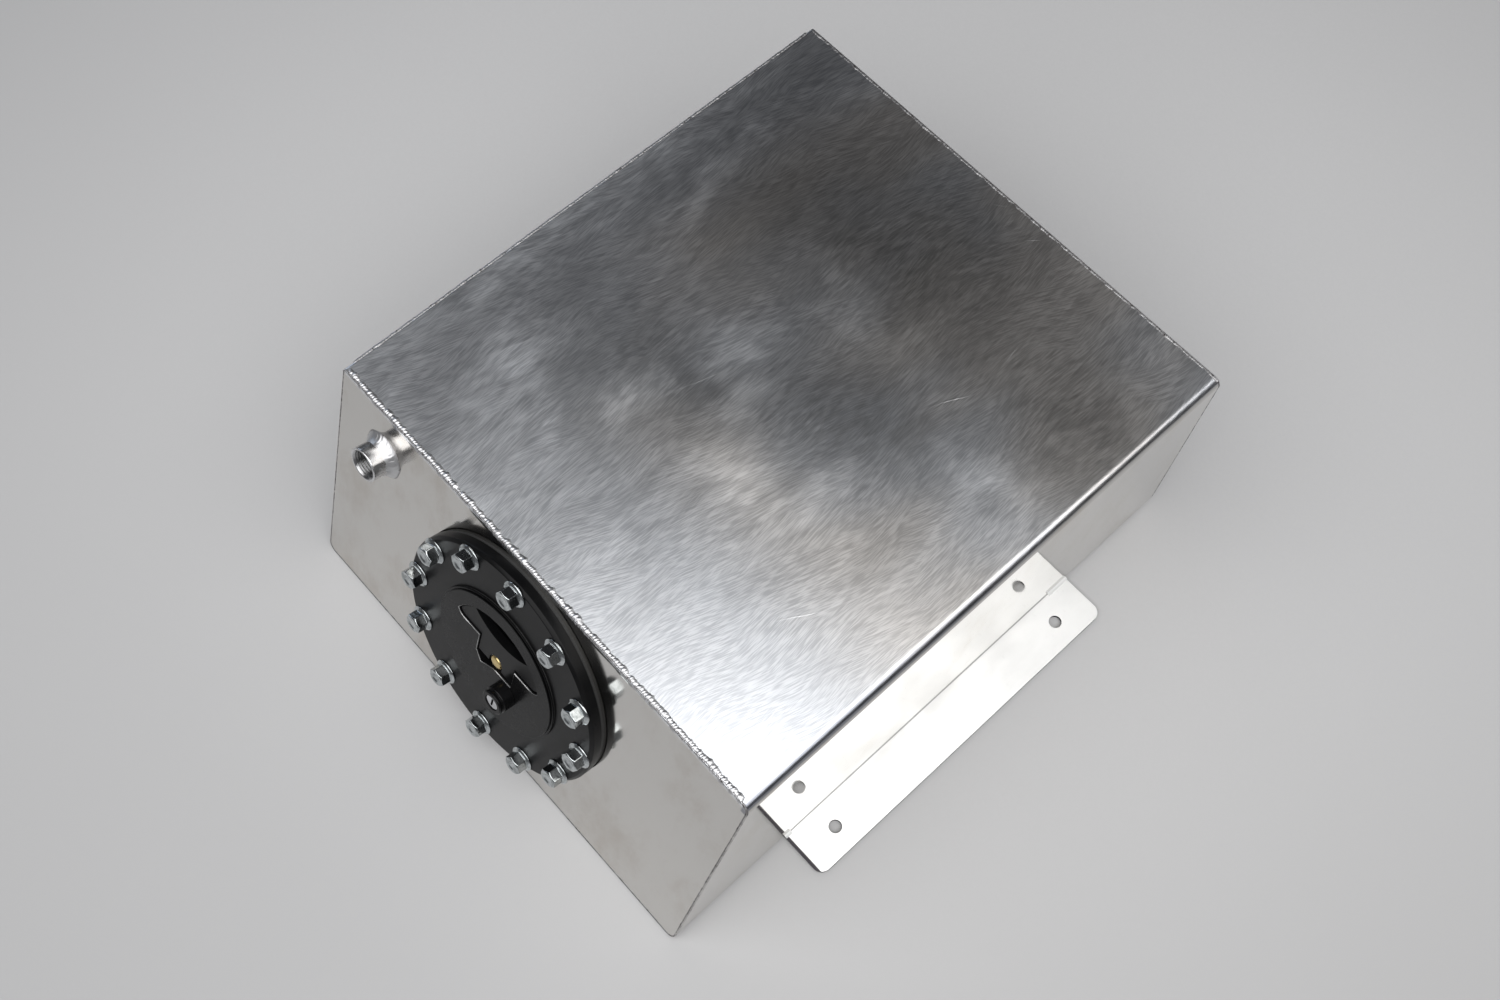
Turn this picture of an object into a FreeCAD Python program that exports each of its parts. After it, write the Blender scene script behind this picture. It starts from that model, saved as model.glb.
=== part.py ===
"""Fuel cell tank: a welded aluminium sheet tank with a bolted-on flush filler, a latching cap and a key lock.

Millimetres. The origin is the middle of the tank's base, +Z is up, the leaning filler wall faces -Y.
The filler and the bungs are drawn about their own axis, with +Z out of the wall, and then set on the wall.
"""

import FreeCAD
import Part
import math
import os

Vector = FreeCAD.Vector

# Tank
tank_width = 280.0
base_length = 350.0
tank_height = 140.6
front_setback = 47.8  # the top's front edge lies this far behind the base's front edge
rear_setback = 2.2
sheet = 3.175
bend_radius = 4.8  # outside radius of the three folds
seam_radius = 2.0  # rounding of the welded top left corner
seam_gap = 0.4
reach = 400.0  # longer than any side, for construction blocks

# Welds on the tank
fat_bead_radius = 2.7
fat_bead_inset = 1.5
slim_bead_radius = 1.7
slim_bead_inset = 1.0
edge_bead_radius = 1.0
edge_bead_inset = 0.55
bead_overlap = 0.3  # how far a straight bead runs past the ends of its seam

# Mounting flanges
flange_length = 206.0
flange_width = 26.7
flange_thickness = 2.0
flange_corner_radius = 5.5
flange_tuck = 0.6  # the strip runs in under the fold by this much
flange_middle_y = 2.5
flange_hole_radius = 3.375
flange_hole_spacing = 161.5
flange_hole_out = 13.5  # from the wall to the holes' line
flange_weld_leg = 1.6
flange_weld_front_length = 4.0
flange_weld_rear_length = 14.0
flange_weld_crown = 0.6  # share of the leg at the bead's middle

# Filler plate, its place on the leaning wall, and what clamps it
filler_across = -1.9  # from the middle of the wall
filler_down = 70.1  # down the wall from its top edge
wall_opening_radius = 50.0
bolt_circle_radius = 60.325
bolt_count = 12
bolt_radius = 3.1
bolt_hole_radius = 3.4
tapped_hole_radius = 3.175
gasket_thickness = 1.6
gasket_inner_radius = 50.5
gasket_outer_radius = 66.0
plate_radius = 66.675
plate_thickness = 6.35
plate_chamfer = 1.5
plate_bore_radius = 39.8
nut_ring_inner_radius = 53.0
nut_ring_outer_radius = 67.0
nut_ring_thickness = 5.0
bolt_flange_radius = 6.9
bolt_flange_thickness = 1.5
bolt_flange_neck_radius = 5.9
bolt_across_flats = 9.5
bolt_head_height = 5.4
bolt_head_dish_radius = 2.9
bolt_head_dish_depth = 0.7

# Filler neck
neck_gasket_thickness = 0.55
neck_body_clearance = 0.2
neck_rim_radius = 41.4
neck_rim_thickness = 0.7
neck_bore_radius = 33.0
neck_seat_radius = 37.5
neck_seat_depth = 3.0  # from the rim's top down to the seal's seat
neck_bottom = -14.0
neck_ledge_radius = 28.0
neck_ledge_thickness = 4.0
neck_slot_clearance = 1.0
neck_nut_radius = 47.0
neck_nut_thickness = 5.5
neck_nut_notch_width = 6.0
neck_nut_notch_depth = 2.6
neck_nut_notches = 4
thread_clearance = 0.05

# Cap
cap_lip_gap = 0.4  # between the neck's rim and the cap's lip
cap_lip_radius = 40.3
cap_lip_thickness = 0.5
cap_flange_radius = 37.2
cap_flange_thickness = 2.2  # under the lip
cap_plug_clearance = 0.1
cap_plug_length = 14.4  # under the flange
cap_edge_chamfer = 0.25
seal_inner_radius = 33.6
seal_outer_radius = 36.6
seal_clearance = 0.1
spring_bore_radius = 9.0
spring_bore_depth = 5.0

# Pocket in the cap and the lever that lies in it, in plan
pocket_radius = 31.6
pocket_bar_foot = 10.1  # lower edge of the pocket's wide part, above the cap's middle
pocket_bar_half = 29.0
pocket_corner_radius = 4.5
pocket_stem_half = 12.6
pocket_stem_foot = -3.6
pocket_lobe_foot = -8.6
pocket_lobe_tip = -8.4  # the lobe's lowest point, left of the cap's middle
pocket_lobe_right = 0.5
pocket_lobe_cut = 1.3  # how far the lobe's left corner is cut back each way
pocket_head_depth = 6.5
pocket_chamfer = 0.6
lever_sink = 1.0  # the lever's top lies this far under the cap's face
lever_thickness = 4.4
lever_gap = 0.5  # to the pocket's wall, all round
lever_bar_gap = 0.9
finger_radius = 31.5  # both sides of the lens-shaped finger opening
finger_foot = 18.0
lever_heel = 3.0
lever_heel_round = 1.0
heel_clearance = 0.3  # to the pocket's floor when the lever is up
fork_half = 4.5
fork_head = 5.3
hinge_pin_radius = 1.2
hinge_pin_half_length = 10.8
hinge_clearance = 0.05

# Stem, latch bar and their fixings
stem_radius = 4.15
stem_clearance = 0.08
stem_top_sink = 1.4  # under the cap's face
stem_edge = 0.5
stem_tail_radius = 3.0
bar_clearance = 0.25  # between the neck's ledge and the bar
bar_half_length = 31.0
bar_width = 14.0
bar_thickness = 3.0
bar_end_bevel = 1.2
latch_nut_across_flats = 9.0
latch_nut_thickness = 3.0
latch_drop = 2.0
spring_radius = 6.6
spring_wire = 1.2  # square wire
spring_turns = 3

# Key lock
lock_across = 11.4  # from the cap's middle
lock_down = 11.1
lock_housing_radius = 7.0
lock_housing_height = 9.0
lock_bezel_radius = 6.6
lock_bezel_height = 1.6
lock_groove_depth = 0.45
lock_groove_height = 0.8
lock_edge = 0.5
lock_shank_radius = 5.4
lock_shank_clearance = 0.05
lock_shank_below = 1.0  # past the cap's underside
lock_plug_radius = 4.2
lock_plug_clearance = 0.05
lock_plug_sink = 0.5
lock_keyway_width = 1.2
lock_keyway_length = 5.6
lock_keyway_depth = 7.0
lock_tail_radius = 2.4
lock_cam_thickness = 1.6
lock_cam_gap = 0.4
lock_cam_reach = 7.5
lock_cam_end_radius = 2.2
lock_cam_hub_radius = 4.2

# Threaded bungs
bung_from_left = 34.2  # vent bung, from the tank's left side
bung_down = 28.5
bung_radius = 9.0
bung_bore_radius = 7.1
bung_stand = 12.0
bung_inside = 1.6
bung_mouth_chamfer = 0.9
bung_edge = 0.4
bung_hole_clearance = 0.1
bung_weld_leg = 4.2
bung_weld_hollow = 0.36  # share of the leg at the weld's middle
outlet_from_right = 45.0  # outlet bung, low on the rear wall
outlet_height = 24.0

# Foam filling
foam_clearance = 0.5
foam_well_gap = 3.0  # round the nut ring
foam_well_depth = 26.0
bung_well_radius = 12.0

# Worked out
front_slope = math.hypot(front_setback, tank_height)
rear_slope = math.hypot(rear_setback, tank_height)
base_front_y = -base_length / 2
base_rear_y = base_length / 2
top_front_y = base_front_y + front_setback
top_rear_y = base_rear_y - rear_setback
plate_top = gasket_thickness + plate_thickness
neck_rim_top = plate_top + neck_gasket_thickness + neck_rim_thickness
neck_body_radius = plate_bore_radius - neck_body_clearance
neck_seat = neck_rim_top - neck_seat_depth
cap_lip_foot = neck_rim_top + cap_lip_gap
cap_face = cap_lip_foot + cap_lip_thickness
cap_flange_foot = cap_lip_foot - cap_flange_thickness
cap_plug_foot = cap_flange_foot - cap_plug_length
cap_plug_radius = neck_bore_radius - cap_plug_clearance
lever_top = cap_face - lever_sink
hinge_height = lever_top - lever_thickness / 2
bar_top = neck_bottom - bar_clearance
pocket_stem_depth = lever_sink + lever_thickness / 2 + lever_heel + latch_drop + heel_clearance
lock_top = cap_face + lock_housing_height
lock_shank_foot = cap_plug_foot - lock_shank_below
bung_across = -tank_width / 2 + bung_from_left
outlet_across = tank_width / 2 - outlet_from_right
foam_well_radius = nut_ring_outer_radius + foam_well_gap


def box(x0, x1, y0, y1, z0, z1):
    """An upright block between the given limits."""
    return Part.makeBox(x1 - x0, y1 - y0, z1 - z0, Vector(x0, y0, z0))


def tube(radius, z0, z1, x=0.0, y=0.0):
    """A solid cylinder along Z between two heights."""
    return Part.makeCylinder(radius, z1 - z0, Vector(x, y, z0))


def ring(outer, inner, z0, z1):
    """A flat ring about Z."""
    return tube(outer, z0, z1).cut(tube(inner, z0, z1))


def turned(points):
    """A solid turned about Z from an outline of (radius, height) points."""
    corners = [Vector(r, 0, z) for r, z in points]
    outline = Part.makePolygon(corners + [corners[0]])
    return Part.Face(outline).revolve(Vector(), Vector(0, 0, 1), 360)


def plate_from(edges, z0, z1):
    """A prism between two heights over a closed outline of edges drawn at height 0."""
    outline = Part.Wire(Part.__sortEdges__(edges))
    slab = Part.Face(outline).extrude(Vector(0, 0, z1 - z0))
    slab.translate(Vector(0, 0, z0))
    return slab


def polygon_plate(points, z0, z1):
    """A prism between two heights over a polygon of (x, y) points."""
    corners = [Vector(x, y, 0) for x, y in points]
    return plate_from(Part.makePolygon(corners + [corners[0]]).Edges, z0, z1)


def round_uprights(shape, radius, wanted):
    """Fillets the upright edges whose middle passes the test."""
    edges = []
    for edge in shape.Edges:
        ends = edge.Vertexes
        if len(ends) != 2:
            continue
        run = ends[1].Point - ends[0].Point
        if math.hypot(run.x, run.y) < 1e-6 and wanted(edge.CenterOfMass):
            edges.append(edge)
    return shape.makeFillet(radius, edges)


def hexagon(across_flats, z0, z1):
    """A hexagonal prism about Z."""
    corner = across_flats / math.sqrt(3)
    turns = [math.radians(60 * k) for k in range(6)]
    return polygon_plate([(corner * math.cos(a), corner * math.sin(a)) for a in turns], z0, z1)


def round_places(radius, count, first_deg=0.0):
    """Points (x, y) evenly spaced on a circle."""
    turns = [math.radians(first_deg + 360.0 * k / count) for k in range(count)]
    return [(radius * math.cos(a), radius * math.sin(a)) for a in turns]


def drilled(shape, places, radius, z0, z1):
    """The shape with round holes along Z at the given points."""
    for x, y in places:
        shape = shape.cut(tube(radius, z0, z1, x, y))
    return shape


def front_wall_place(across, down):
    """The placement that carries a shape drawn about Z onto the leaning front wall."""
    share = down / front_slope
    up_wall = Vector(0, front_setback, tank_height)
    outward = Vector(0, -tank_height, front_setback)
    point = Vector(across, top_front_y - front_setback * share, tank_height * (1 - share))
    return FreeCAD.Placement(point, FreeCAD.Rotation(Vector(1, 0, 0), up_wall, outward, "ZXY"))


def rear_wall_place(across, height):
    """The placement that carries a shape drawn about Z onto the rear wall."""
    share = height / tank_height
    up_wall = Vector(0, -rear_setback, tank_height)
    outward = Vector(0, tank_height, rear_setback)
    point = Vector(across, base_rear_y - rear_setback * share, height)
    return FreeCAD.Placement(point, FreeCAD.Rotation(Vector(-1, 0, 0), up_wall, outward, "ZXY"))


def placed(shape, placement):
    """A copy of the shape carried by a placement."""
    copy = shape.copy()
    copy.Placement = placement.multiply(copy.Placement)
    return copy


def section_wire(inset):
    """The tank's cross-section across X, with its three folds, inset from the outside."""
    half = tank_width / 2 - inset
    low = inset
    high = tank_height - inset
    fold = max(bend_radius - inset, 0.3)
    seam = max(seam_radius - inset, 0.3)
    corners = [(-half, low, fold), (half, low, fold), (half, high, fold), (-half, high, seam)]
    edges = []
    exits = []
    for k, (x, z, r) in enumerate(corners):
        sx = 1 if x > 0 else -1
        sz = 1 if z > tank_height / 2 else -1
        along_x = Vector(x - sx * r, 0, z)
        along_z = Vector(x, 0, z - sz * r)
        middle = Vector(x - sx * r * (1 - math.sqrt(0.5)), 0, z - sz * r * (1 - math.sqrt(0.5)))
        first, last = (along_z, along_x) if k % 2 == 0 else (along_x, along_z)
        edges.append(Part.Arc(first, middle, last).toShape())
        exits.append((first, last))
    for k in range(len(exits)):
        edges.append(Part.LineSegment(exits[k][1], exits[(k + 1) % 4][0]).toShape())
    return Part.Wire(Part.__sortEdges__(edges))


def side_wedge(front_inset, rear_inset):
    """A block as wide as needed whose ends are the leaning front and rear planes, inset square to them."""
    front_step = front_inset * front_slope / tank_height
    rear_step = rear_inset * rear_slope / tank_height
    over = 20.0
    front_run = front_setback / tank_height * over
    rear_run = rear_setback / tank_height * over
    corners = [
        Vector(-reach, base_front_y - front_run + front_step, -over),
        Vector(-reach, base_rear_y + rear_run - rear_step, -over),
        Vector(-reach, top_rear_y - rear_run - rear_step, tank_height + over),
        Vector(-reach, top_front_y + front_run + front_step, tank_height + over),
    ]
    outline = Part.makePolygon(corners + [corners[0]])
    return Part.Face(outline).extrude(Vector(2 * reach, 0, 0))


def section_bar(inset):
    """The cross-section drawn out along Y past both ends of the tank."""
    bar = Part.Face(section_wire(inset)).extrude(Vector(0, 2 * reach, 0))
    bar.translate(Vector(0, -reach, 0))
    return bar


def tank_wrap(hull):
    """Top, right wall, base and left wall: one sheet with three folds, open at the top left seam."""
    shell = hull.common(side_wedge(sheet, sheet)).cut(section_bar(sheet))
    seam_x = -tank_width / 2 + sheet
    slot = box(seam_x, seam_x + seam_gap, -reach, reach, tank_height - 2 * sheet, tank_height + sheet)
    return shell.cut(slot)


def front_panel(hull):
    """The leaning front wall, with the filler opening, its bolt holes and the vent bung's hole."""
    panel = hull.cut(side_wedge(sheet, 0))
    deep = 3 * sheet
    opening = tube(wall_opening_radius, -deep, deep)
    places = round_places(bolt_circle_radius, bolt_count)
    bolts = [tube(bolt_hole_radius, -deep, deep, x, y) for x, y in places]
    filler = front_wall_place(filler_across, filler_down)
    for tool in [opening] + bolts:
        panel = panel.cut(placed(tool, filler))
    bung = tube(bung_radius + bung_hole_clearance, -deep, deep)
    return panel.cut(placed(bung, front_wall_place(bung_across, bung_down)))


def rear_panel(hull):
    """The rear wall with the outlet bung's hole."""
    panel = hull.cut(side_wedge(0, sheet))
    bung = tube(bung_radius + bung_hole_clearance, -3 * sheet, 3 * sheet)
    return panel.cut(placed(bung, rear_wall_place(outlet_across, outlet_height)))


def straight_bead(start, end, radius, hull):
    """A round weld bead laid along a line, less what lies inside the tank."""
    run = end.sub(start)
    unit = Vector(run).normalize()
    foot = start.sub(unit.multiply(bead_overlap))
    bead = Part.makeCylinder(radius, run.Length + 2 * bead_overlap, foot, run)
    return bead.cut(hull)


def edge_bead(end, hull):
    """The low bead that follows an end panel's outline: -1 for the front wall, 1 for the rear wall."""
    inner = side_wedge(edge_bead_inset, edge_bead_inset)
    body = section_bar(edge_bead_inset).common(inner)
    faces = [f for f in body.Faces if abs(f.normalAt(0, 0).y) > 0.9]
    face = min(faces, key=lambda f: end * -f.CenterOfMass.y)
    path = face.OuterWire
    start = path.Edges[0].valueAt(path.Edges[0].FirstParameter)
    heading = path.Edges[0].tangentAt(path.Edges[0].FirstParameter)
    profile = Part.Wire(Part.makeCircle(edge_bead_radius, start, heading))
    bead = path.makePipeShell([profile], True, False)
    return bead.cut(hull)


def front_weld(hull):
    """The front wall's weld: a fat bead along its top edge and a low one all round."""
    y = top_front_y + fat_bead_inset
    z = tank_height - fat_bead_inset
    side = tank_width / 2 - fat_bead_inset
    top = straight_bead(Vector(-side, y, z), Vector(side, y, z), fat_bead_radius, hull)
    return top.fuse(edge_bead(-1, hull)).removeSplitter()


def rear_weld(hull):
    """The rear wall's weld: a slim bead along its top edge and a low one all round."""
    y = top_rear_y - slim_bead_inset
    z = tank_height - slim_bead_inset
    side = tank_width / 2 - slim_bead_inset
    top = straight_bead(Vector(-side, y, z), Vector(side, y, z), slim_bead_radius, hull)
    return top.fuse(edge_bead(1, hull)).removeSplitter()


def seam_weld(hull):
    """The slim bead along the top left corner, between the two end welds."""
    x = -tank_width / 2 + slim_bead_inset
    z = tank_height - slim_bead_inset
    front = top_front_y + fat_bead_inset + fat_bead_radius + 2 * bead_overlap
    rear = top_rear_y - slim_bead_inset - slim_bead_radius - 2 * bead_overlap
    return straight_bead(Vector(x, front, z), Vector(x, rear, z), slim_bead_radius, hull)


def mount_flange(side):
    """A flat strip along the foot of a side wall, with two holes: 1 for the right, -1 for the left."""
    inner = tank_width / 2 - flange_tuck
    outer = tank_width / 2 + flange_width
    front = flange_middle_y - flange_length / 2
    rear = flange_middle_y + flange_length / 2
    strip = box(inner, outer, front, rear, 0, flange_thickness)
    strip = round_uprights(strip, flange_corner_radius, lambda p: p.x > tank_width / 2)
    hole_x = tank_width / 2 + flange_hole_out
    places = [(hole_x, flange_middle_y + s * flange_hole_spacing / 2) for s in (-1, 1)]
    strip = drilled(strip, places, flange_hole_radius, -1, flange_thickness + 1)
    return strip if side > 0 else strip.mirror(Vector(), Vector(1, 0, 0))


def flange_weld(side, hull):
    """The two short fillet beads that hold a flange to its side wall, one at each end."""
    leg = flange_weld_leg
    front = flange_middle_y - flange_length / 2
    rear = flange_middle_y + flange_length / 2
    wall = tank_width / 2
    low = flange_thickness
    beads = []
    for foot, length in [(front, flange_weld_front_length), (rear, -flange_weld_rear_length)]:
        inner_low = Vector(wall - flange_tuck, foot, low)
        inner_high = Vector(wall - flange_tuck, foot, low + leg + flange_tuck)
        outer_high = Vector(wall, foot, low + leg)
        crown = Vector(wall + leg * flange_weld_crown, foot, low + leg * flange_weld_crown)
        outer_low = Vector(wall + leg, foot, low)
        edges = [
            Part.LineSegment(inner_low, inner_high).toShape(),
            Part.LineSegment(inner_high, outer_high).toShape(),
            Part.Arc(outer_high, crown, outer_low).toShape(),
            Part.LineSegment(outer_low, inner_low).toShape(),
        ]
        bead = Part.Face(Part.Wire(edges)).extrude(Vector(0, length, 0)).cut(hull)
        beads.append(bead if side > 0 else bead.mirror(Vector(), Vector(1, 0, 0)))
    return Part.makeCompound(beads)


def bung():
    """A threaded bung: a turned sleeve that stands out of the wall and runs through it."""
    foot = -sheet - bung_inside
    mouth = bung_bore_radius + bung_mouth_chamfer
    points = [
        (bung_bore_radius, foot),
        (bung_radius, foot),
        (bung_radius, bung_stand - bung_edge),
        (bung_radius - bung_edge, bung_stand),
        (mouth, bung_stand),
        (bung_bore_radius, bung_stand - bung_mouth_chamfer),
    ]
    return turned(points)


def bung_weld():
    """The concave fillet weld round a bung's foot."""
    leg = bung_weld_leg
    high = Vector(bung_radius, 0, leg)
    hollow = Vector(bung_radius + leg * bung_weld_hollow, 0, leg * bung_weld_hollow)
    wide = Vector(bung_radius + leg, 0, 0)
    corner = Vector(bung_radius, 0, 0)
    edges = [
        Part.Arc(high, hollow, wide).toShape(),
        Part.LineSegment(wide, corner).toShape(),
        Part.LineSegment(corner, high).toShape(),
    ]
    return Part.Face(Part.Wire(edges)).revolve(Vector(), Vector(0, 0, 1), 360)


def foam_block():
    """The foam filling: it follows the tank's inside, with wells for the filler and the bungs."""
    inset = sheet + foam_clearance
    foam = section_bar(inset).common(side_wedge(inset, inset))
    well = tube(foam_well_radius, -foam_well_depth, foam_well_depth)
    foam = foam.cut(placed(well, front_wall_place(filler_across, filler_down)))
    port = tube(bung_well_radius, -sheet - 4 * bung_inside, 0)
    foam = foam.cut(placed(port, front_wall_place(bung_across, bung_down)))
    return foam.cut(placed(port, rear_wall_place(outlet_across, outlet_height)))


def nut_ring():
    """The ring inside the tank that the plate's bolts screw into."""
    top = -sheet
    foot = top - nut_ring_thickness
    band = ring(nut_ring_outer_radius, nut_ring_inner_radius, foot, top)
    return drilled(band, round_places(bolt_circle_radius, bolt_count), tapped_hole_radius, foot, top)


def filler_gasket():
    """The flat gasket between the wall and the filler plate."""
    band = ring(gasket_outer_radius, gasket_inner_radius, 0, gasket_thickness)
    return drilled(band, round_places(bolt_circle_radius, bolt_count), bolt_hole_radius, 0, gasket_thickness)


def filler_plate():
    """The round filler plate, bevelled at its edge."""
    points = [
        (plate_bore_radius, gasket_thickness),
        (plate_radius, gasket_thickness),
        (plate_radius, plate_top - plate_chamfer),
        (plate_radius - plate_chamfer, plate_top),
        (plate_bore_radius, plate_top),
    ]
    plate = turned(points)
    return drilled(plate, round_places(bolt_circle_radius, bolt_count), bolt_hole_radius, 0, plate_top)


def plate_bolt():
    """A flanged hexagon bolt, its head's top dished, drawn about its own axis."""
    top = plate_top + bolt_flange_thickness
    crown = top + bolt_head_height
    foot = -sheet - nut_ring_thickness
    seat = Vector(0, 0, plate_top)
    flange = Part.makeCone(bolt_flange_radius, bolt_flange_neck_radius, bolt_flange_thickness, seat)
    head = hexagon(bolt_across_flats, plate_top, crown)
    head = head.cut(tube(bolt_head_dish_radius, crown - bolt_head_dish_depth, crown))
    shank = tube(bolt_radius, foot, plate_top)
    return flange.fuse(head).fuse(shank).removeSplitter()


def plate_bolts():
    """All the plate's bolts, as separate solids."""
    bolts = []
    for x, y in round_places(bolt_circle_radius, bolt_count):
        bolt = plate_bolt()
        bolt.rotate(Vector(), Vector(0, 0, 1), 7 * x + 3 * y)
        bolt.translate(Vector(x, y, 0))
        bolts.append(bolt)
    return Part.makeCompound(bolts)


def neck_gasket():
    """The thin gasket between the filler plate and the neck's rim."""
    outer = neck_rim_radius - neck_body_clearance
    inner = neck_body_radius + neck_body_clearance
    return ring(outer, inner, plate_top, plate_top + neck_gasket_thickness)


def filler_neck():
    """The turned neck: a thin rim, a seal seat, a bore and a ledge slotted for the latch bar."""
    rim_foot = neck_rim_top - neck_rim_thickness
    points = [
        (neck_ledge_radius, neck_bottom),
        (neck_body_radius, neck_bottom),
        (neck_body_radius, rim_foot),
        (neck_rim_radius, rim_foot),
        (neck_rim_radius, neck_rim_top),
        (neck_seat_radius, neck_rim_top),
        (neck_seat_radius, neck_seat),
        (neck_bore_radius, neck_seat),
        (neck_bore_radius, neck_bottom + neck_ledge_thickness),
        (neck_ledge_radius, neck_bottom + neck_ledge_thickness),
    ]
    neck = turned(points)
    half = bar_width / 2 + neck_slot_clearance
    slot = box(-half, half, -neck_bore_radius, neck_bore_radius, neck_bottom - 1, cap_plug_foot)
    slot = slot.common(tube(neck_bore_radius, neck_bottom - 1, cap_plug_foot))
    return neck.cut(slot)


def neck_nut():
    """The ring nut that clamps the neck from behind the filler plate, with spanner notches."""
    high = gasket_thickness
    low = high - neck_nut_thickness
    nut = ring(neck_nut_radius, neck_body_radius + thread_clearance, low, high)
    half = neck_nut_notch_width / 2
    for k in range(neck_nut_notches):
        inner = neck_nut_radius - neck_nut_notch_depth
        notch = box(inner, neck_nut_radius + 1, -half, half, low - 1, high + 1)
        notch.rotate(Vector(), Vector(0, 0, 1), 360.0 * k / neck_nut_notches)
        nut = nut.cut(notch)
    return nut


def head_outline(radius, foot, half, corner, z0, z1):
    """The wide part of the lever's outline: a disc cut off at its foot, with rounded lower corners."""
    disc = tube(radius, z0, z1)
    block = box(-half, half, foot, radius + 1, z0, z1)
    block = round_uprights(block, corner, lambda p: p.y < foot + 0.1)
    return disc.common(block)


def pocket_shape():
    """The pocket that the lever lies in: its wide part, its stem and the lobe beside the lock."""
    face = cap_face + 1
    head_floor = cap_face - pocket_head_depth
    stem_floor = cap_face - pocket_stem_depth
    head = head_outline(
        pocket_radius, pocket_bar_foot, pocket_bar_half, pocket_corner_radius, head_floor, face
    )
    top = pocket_bar_foot + pocket_corner_radius
    stem = box(-pocket_stem_half, pocket_stem_half, pocket_stem_foot, top, stem_floor, face)
    overlap = pocket_stem_foot + 1
    lobe = polygon_plate(
        [
            (-pocket_stem_half, overlap),
            (-pocket_stem_half + pocket_lobe_cut, pocket_stem_foot - pocket_lobe_cut),
            (pocket_lobe_tip, pocket_lobe_foot),
            (pocket_lobe_right, pocket_stem_foot),
            (pocket_lobe_right, overlap),
        ],
        stem_floor,
        face,
    )
    pocket = head.fuse(stem).fuse(lobe)
    return pocket.removeSplitter()


def pocket_bevel(pocket):
    """The bevel round the pocket's mouth: the pocket's outline, widened upwards."""
    outline = pocket.slice(Vector(0, 0, 1), cap_face - 0.01)[0]
    wide = outline.makeOffset2D(pocket_chamfer)
    low = outline.copy()
    low.translate(Vector(0, 0, cap_face - pocket_chamfer - outline.BoundBox.ZMin))
    wide.translate(Vector(0, 0, cap_face - wide.BoundBox.ZMin))
    return Part.makeLoft([low, wide], True, True)


def cap_body():
    """The cap: a thin lip, a flange and a plug, with the lever's pocket and holes for stem and lock."""
    points = [
        (0, cap_plug_foot),
        (cap_plug_radius, cap_plug_foot),
        (cap_plug_radius, cap_flange_foot),
        (cap_flange_radius, cap_flange_foot),
        (cap_flange_radius, cap_lip_foot),
        (cap_lip_radius, cap_lip_foot),
        (cap_lip_radius, cap_face - cap_edge_chamfer),
        (cap_lip_radius - cap_edge_chamfer, cap_face),
        (0, cap_face),
    ]
    cap = turned(points)
    pocket = pocket_shape()
    cap = cap.cut(pocket).cut(pocket_bevel(pocket))
    cap = cap.cut(tube(stem_radius + stem_clearance, cap_plug_foot - 1, cap_face))
    cap = cap.cut(tube(spring_bore_radius, cap_plug_foot - 1, cap_plug_foot + spring_bore_depth))
    lock_hole = lock_shank_radius + lock_shank_clearance
    return cap.cut(tube(lock_hole, cap_plug_foot - 1, cap_face + 1, lock_across, -lock_down))


def cap_seal():
    """The flat seal under the cap's flange."""
    return ring(seal_outer_radius, seal_inner_radius, neck_seat + seal_clearance, cap_flange_foot)


def cap_lever():
    """The lever: a T with a lens-shaped finger opening and a forked heel that turns on the hinge pin."""
    low = lever_top - lever_thickness
    head = head_outline(
        pocket_radius - lever_gap,
        pocket_bar_foot + lever_bar_gap,
        pocket_bar_half - lever_gap,
        pocket_corner_radius,
        low,
        lever_top,
    )
    finger = tube(finger_radius, low, lever_top, 0, finger_foot + finger_radius)
    head = head.cut(finger)
    half = pocket_stem_half - lever_gap
    stem = box(-half, half, -lever_heel, pocket_bar_foot + 2 * pocket_corner_radius, low, lever_top)
    stem = stem.cut(finger)
    lever = head.fuse(stem).removeSplitter()
    heel = [
        e
        for e in lever.Edges
        if abs(e.CenterOfMass.y + lever_heel) < 1e-6
        and abs(e.Vertexes[0].Point.z - e.Vertexes[-1].Point.z) < 1e-6
    ]
    lever = lever.makeFillet(lever_heel_round, heel)
    fork = box(-fork_half, fork_half, -lever_heel - 1, fork_head - fork_half, low - 1, lever_top + 1)
    fork = fork.fuse(tube(fork_half, low - 1, lever_top + 1, 0, fork_head - fork_half))
    lever = lever.cut(fork)
    bore = Part.makeCylinder(
        hinge_pin_radius + hinge_clearance,
        2 * hinge_pin_half_length,
        Vector(-hinge_pin_half_length, 0, hinge_height),
        Vector(1, 0, 0),
    )
    return lever.cut(bore)


def hinge_pin():
    """The pin through the stem's head, on which the lever turns."""
    short = hinge_pin_half_length - hinge_clearance
    return Part.makeCylinder(hinge_pin_radius, 2 * short, Vector(-short, 0, hinge_height), Vector(1, 0, 0))


def stem():
    """The brass stem: its head shows in the lever's fork, its tail carries the latch bar."""
    head = cap_face - stem_top_sink
    tail = bar_top - bar_thickness - latch_nut_thickness
    points = [
        (0, tail),
        (stem_tail_radius, tail),
        (stem_tail_radius, bar_top),
        (stem_radius, bar_top),
        (stem_radius, head - stem_edge),
        (stem_radius - stem_edge, head),
        (0, head),
    ]
    body = turned(points)
    bore = Part.makeCylinder(
        hinge_pin_radius,
        4 * stem_radius,
        Vector(-2 * stem_radius, 0, hinge_height),
        Vector(1, 0, 0),
    )
    return body.cut(bore)


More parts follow.
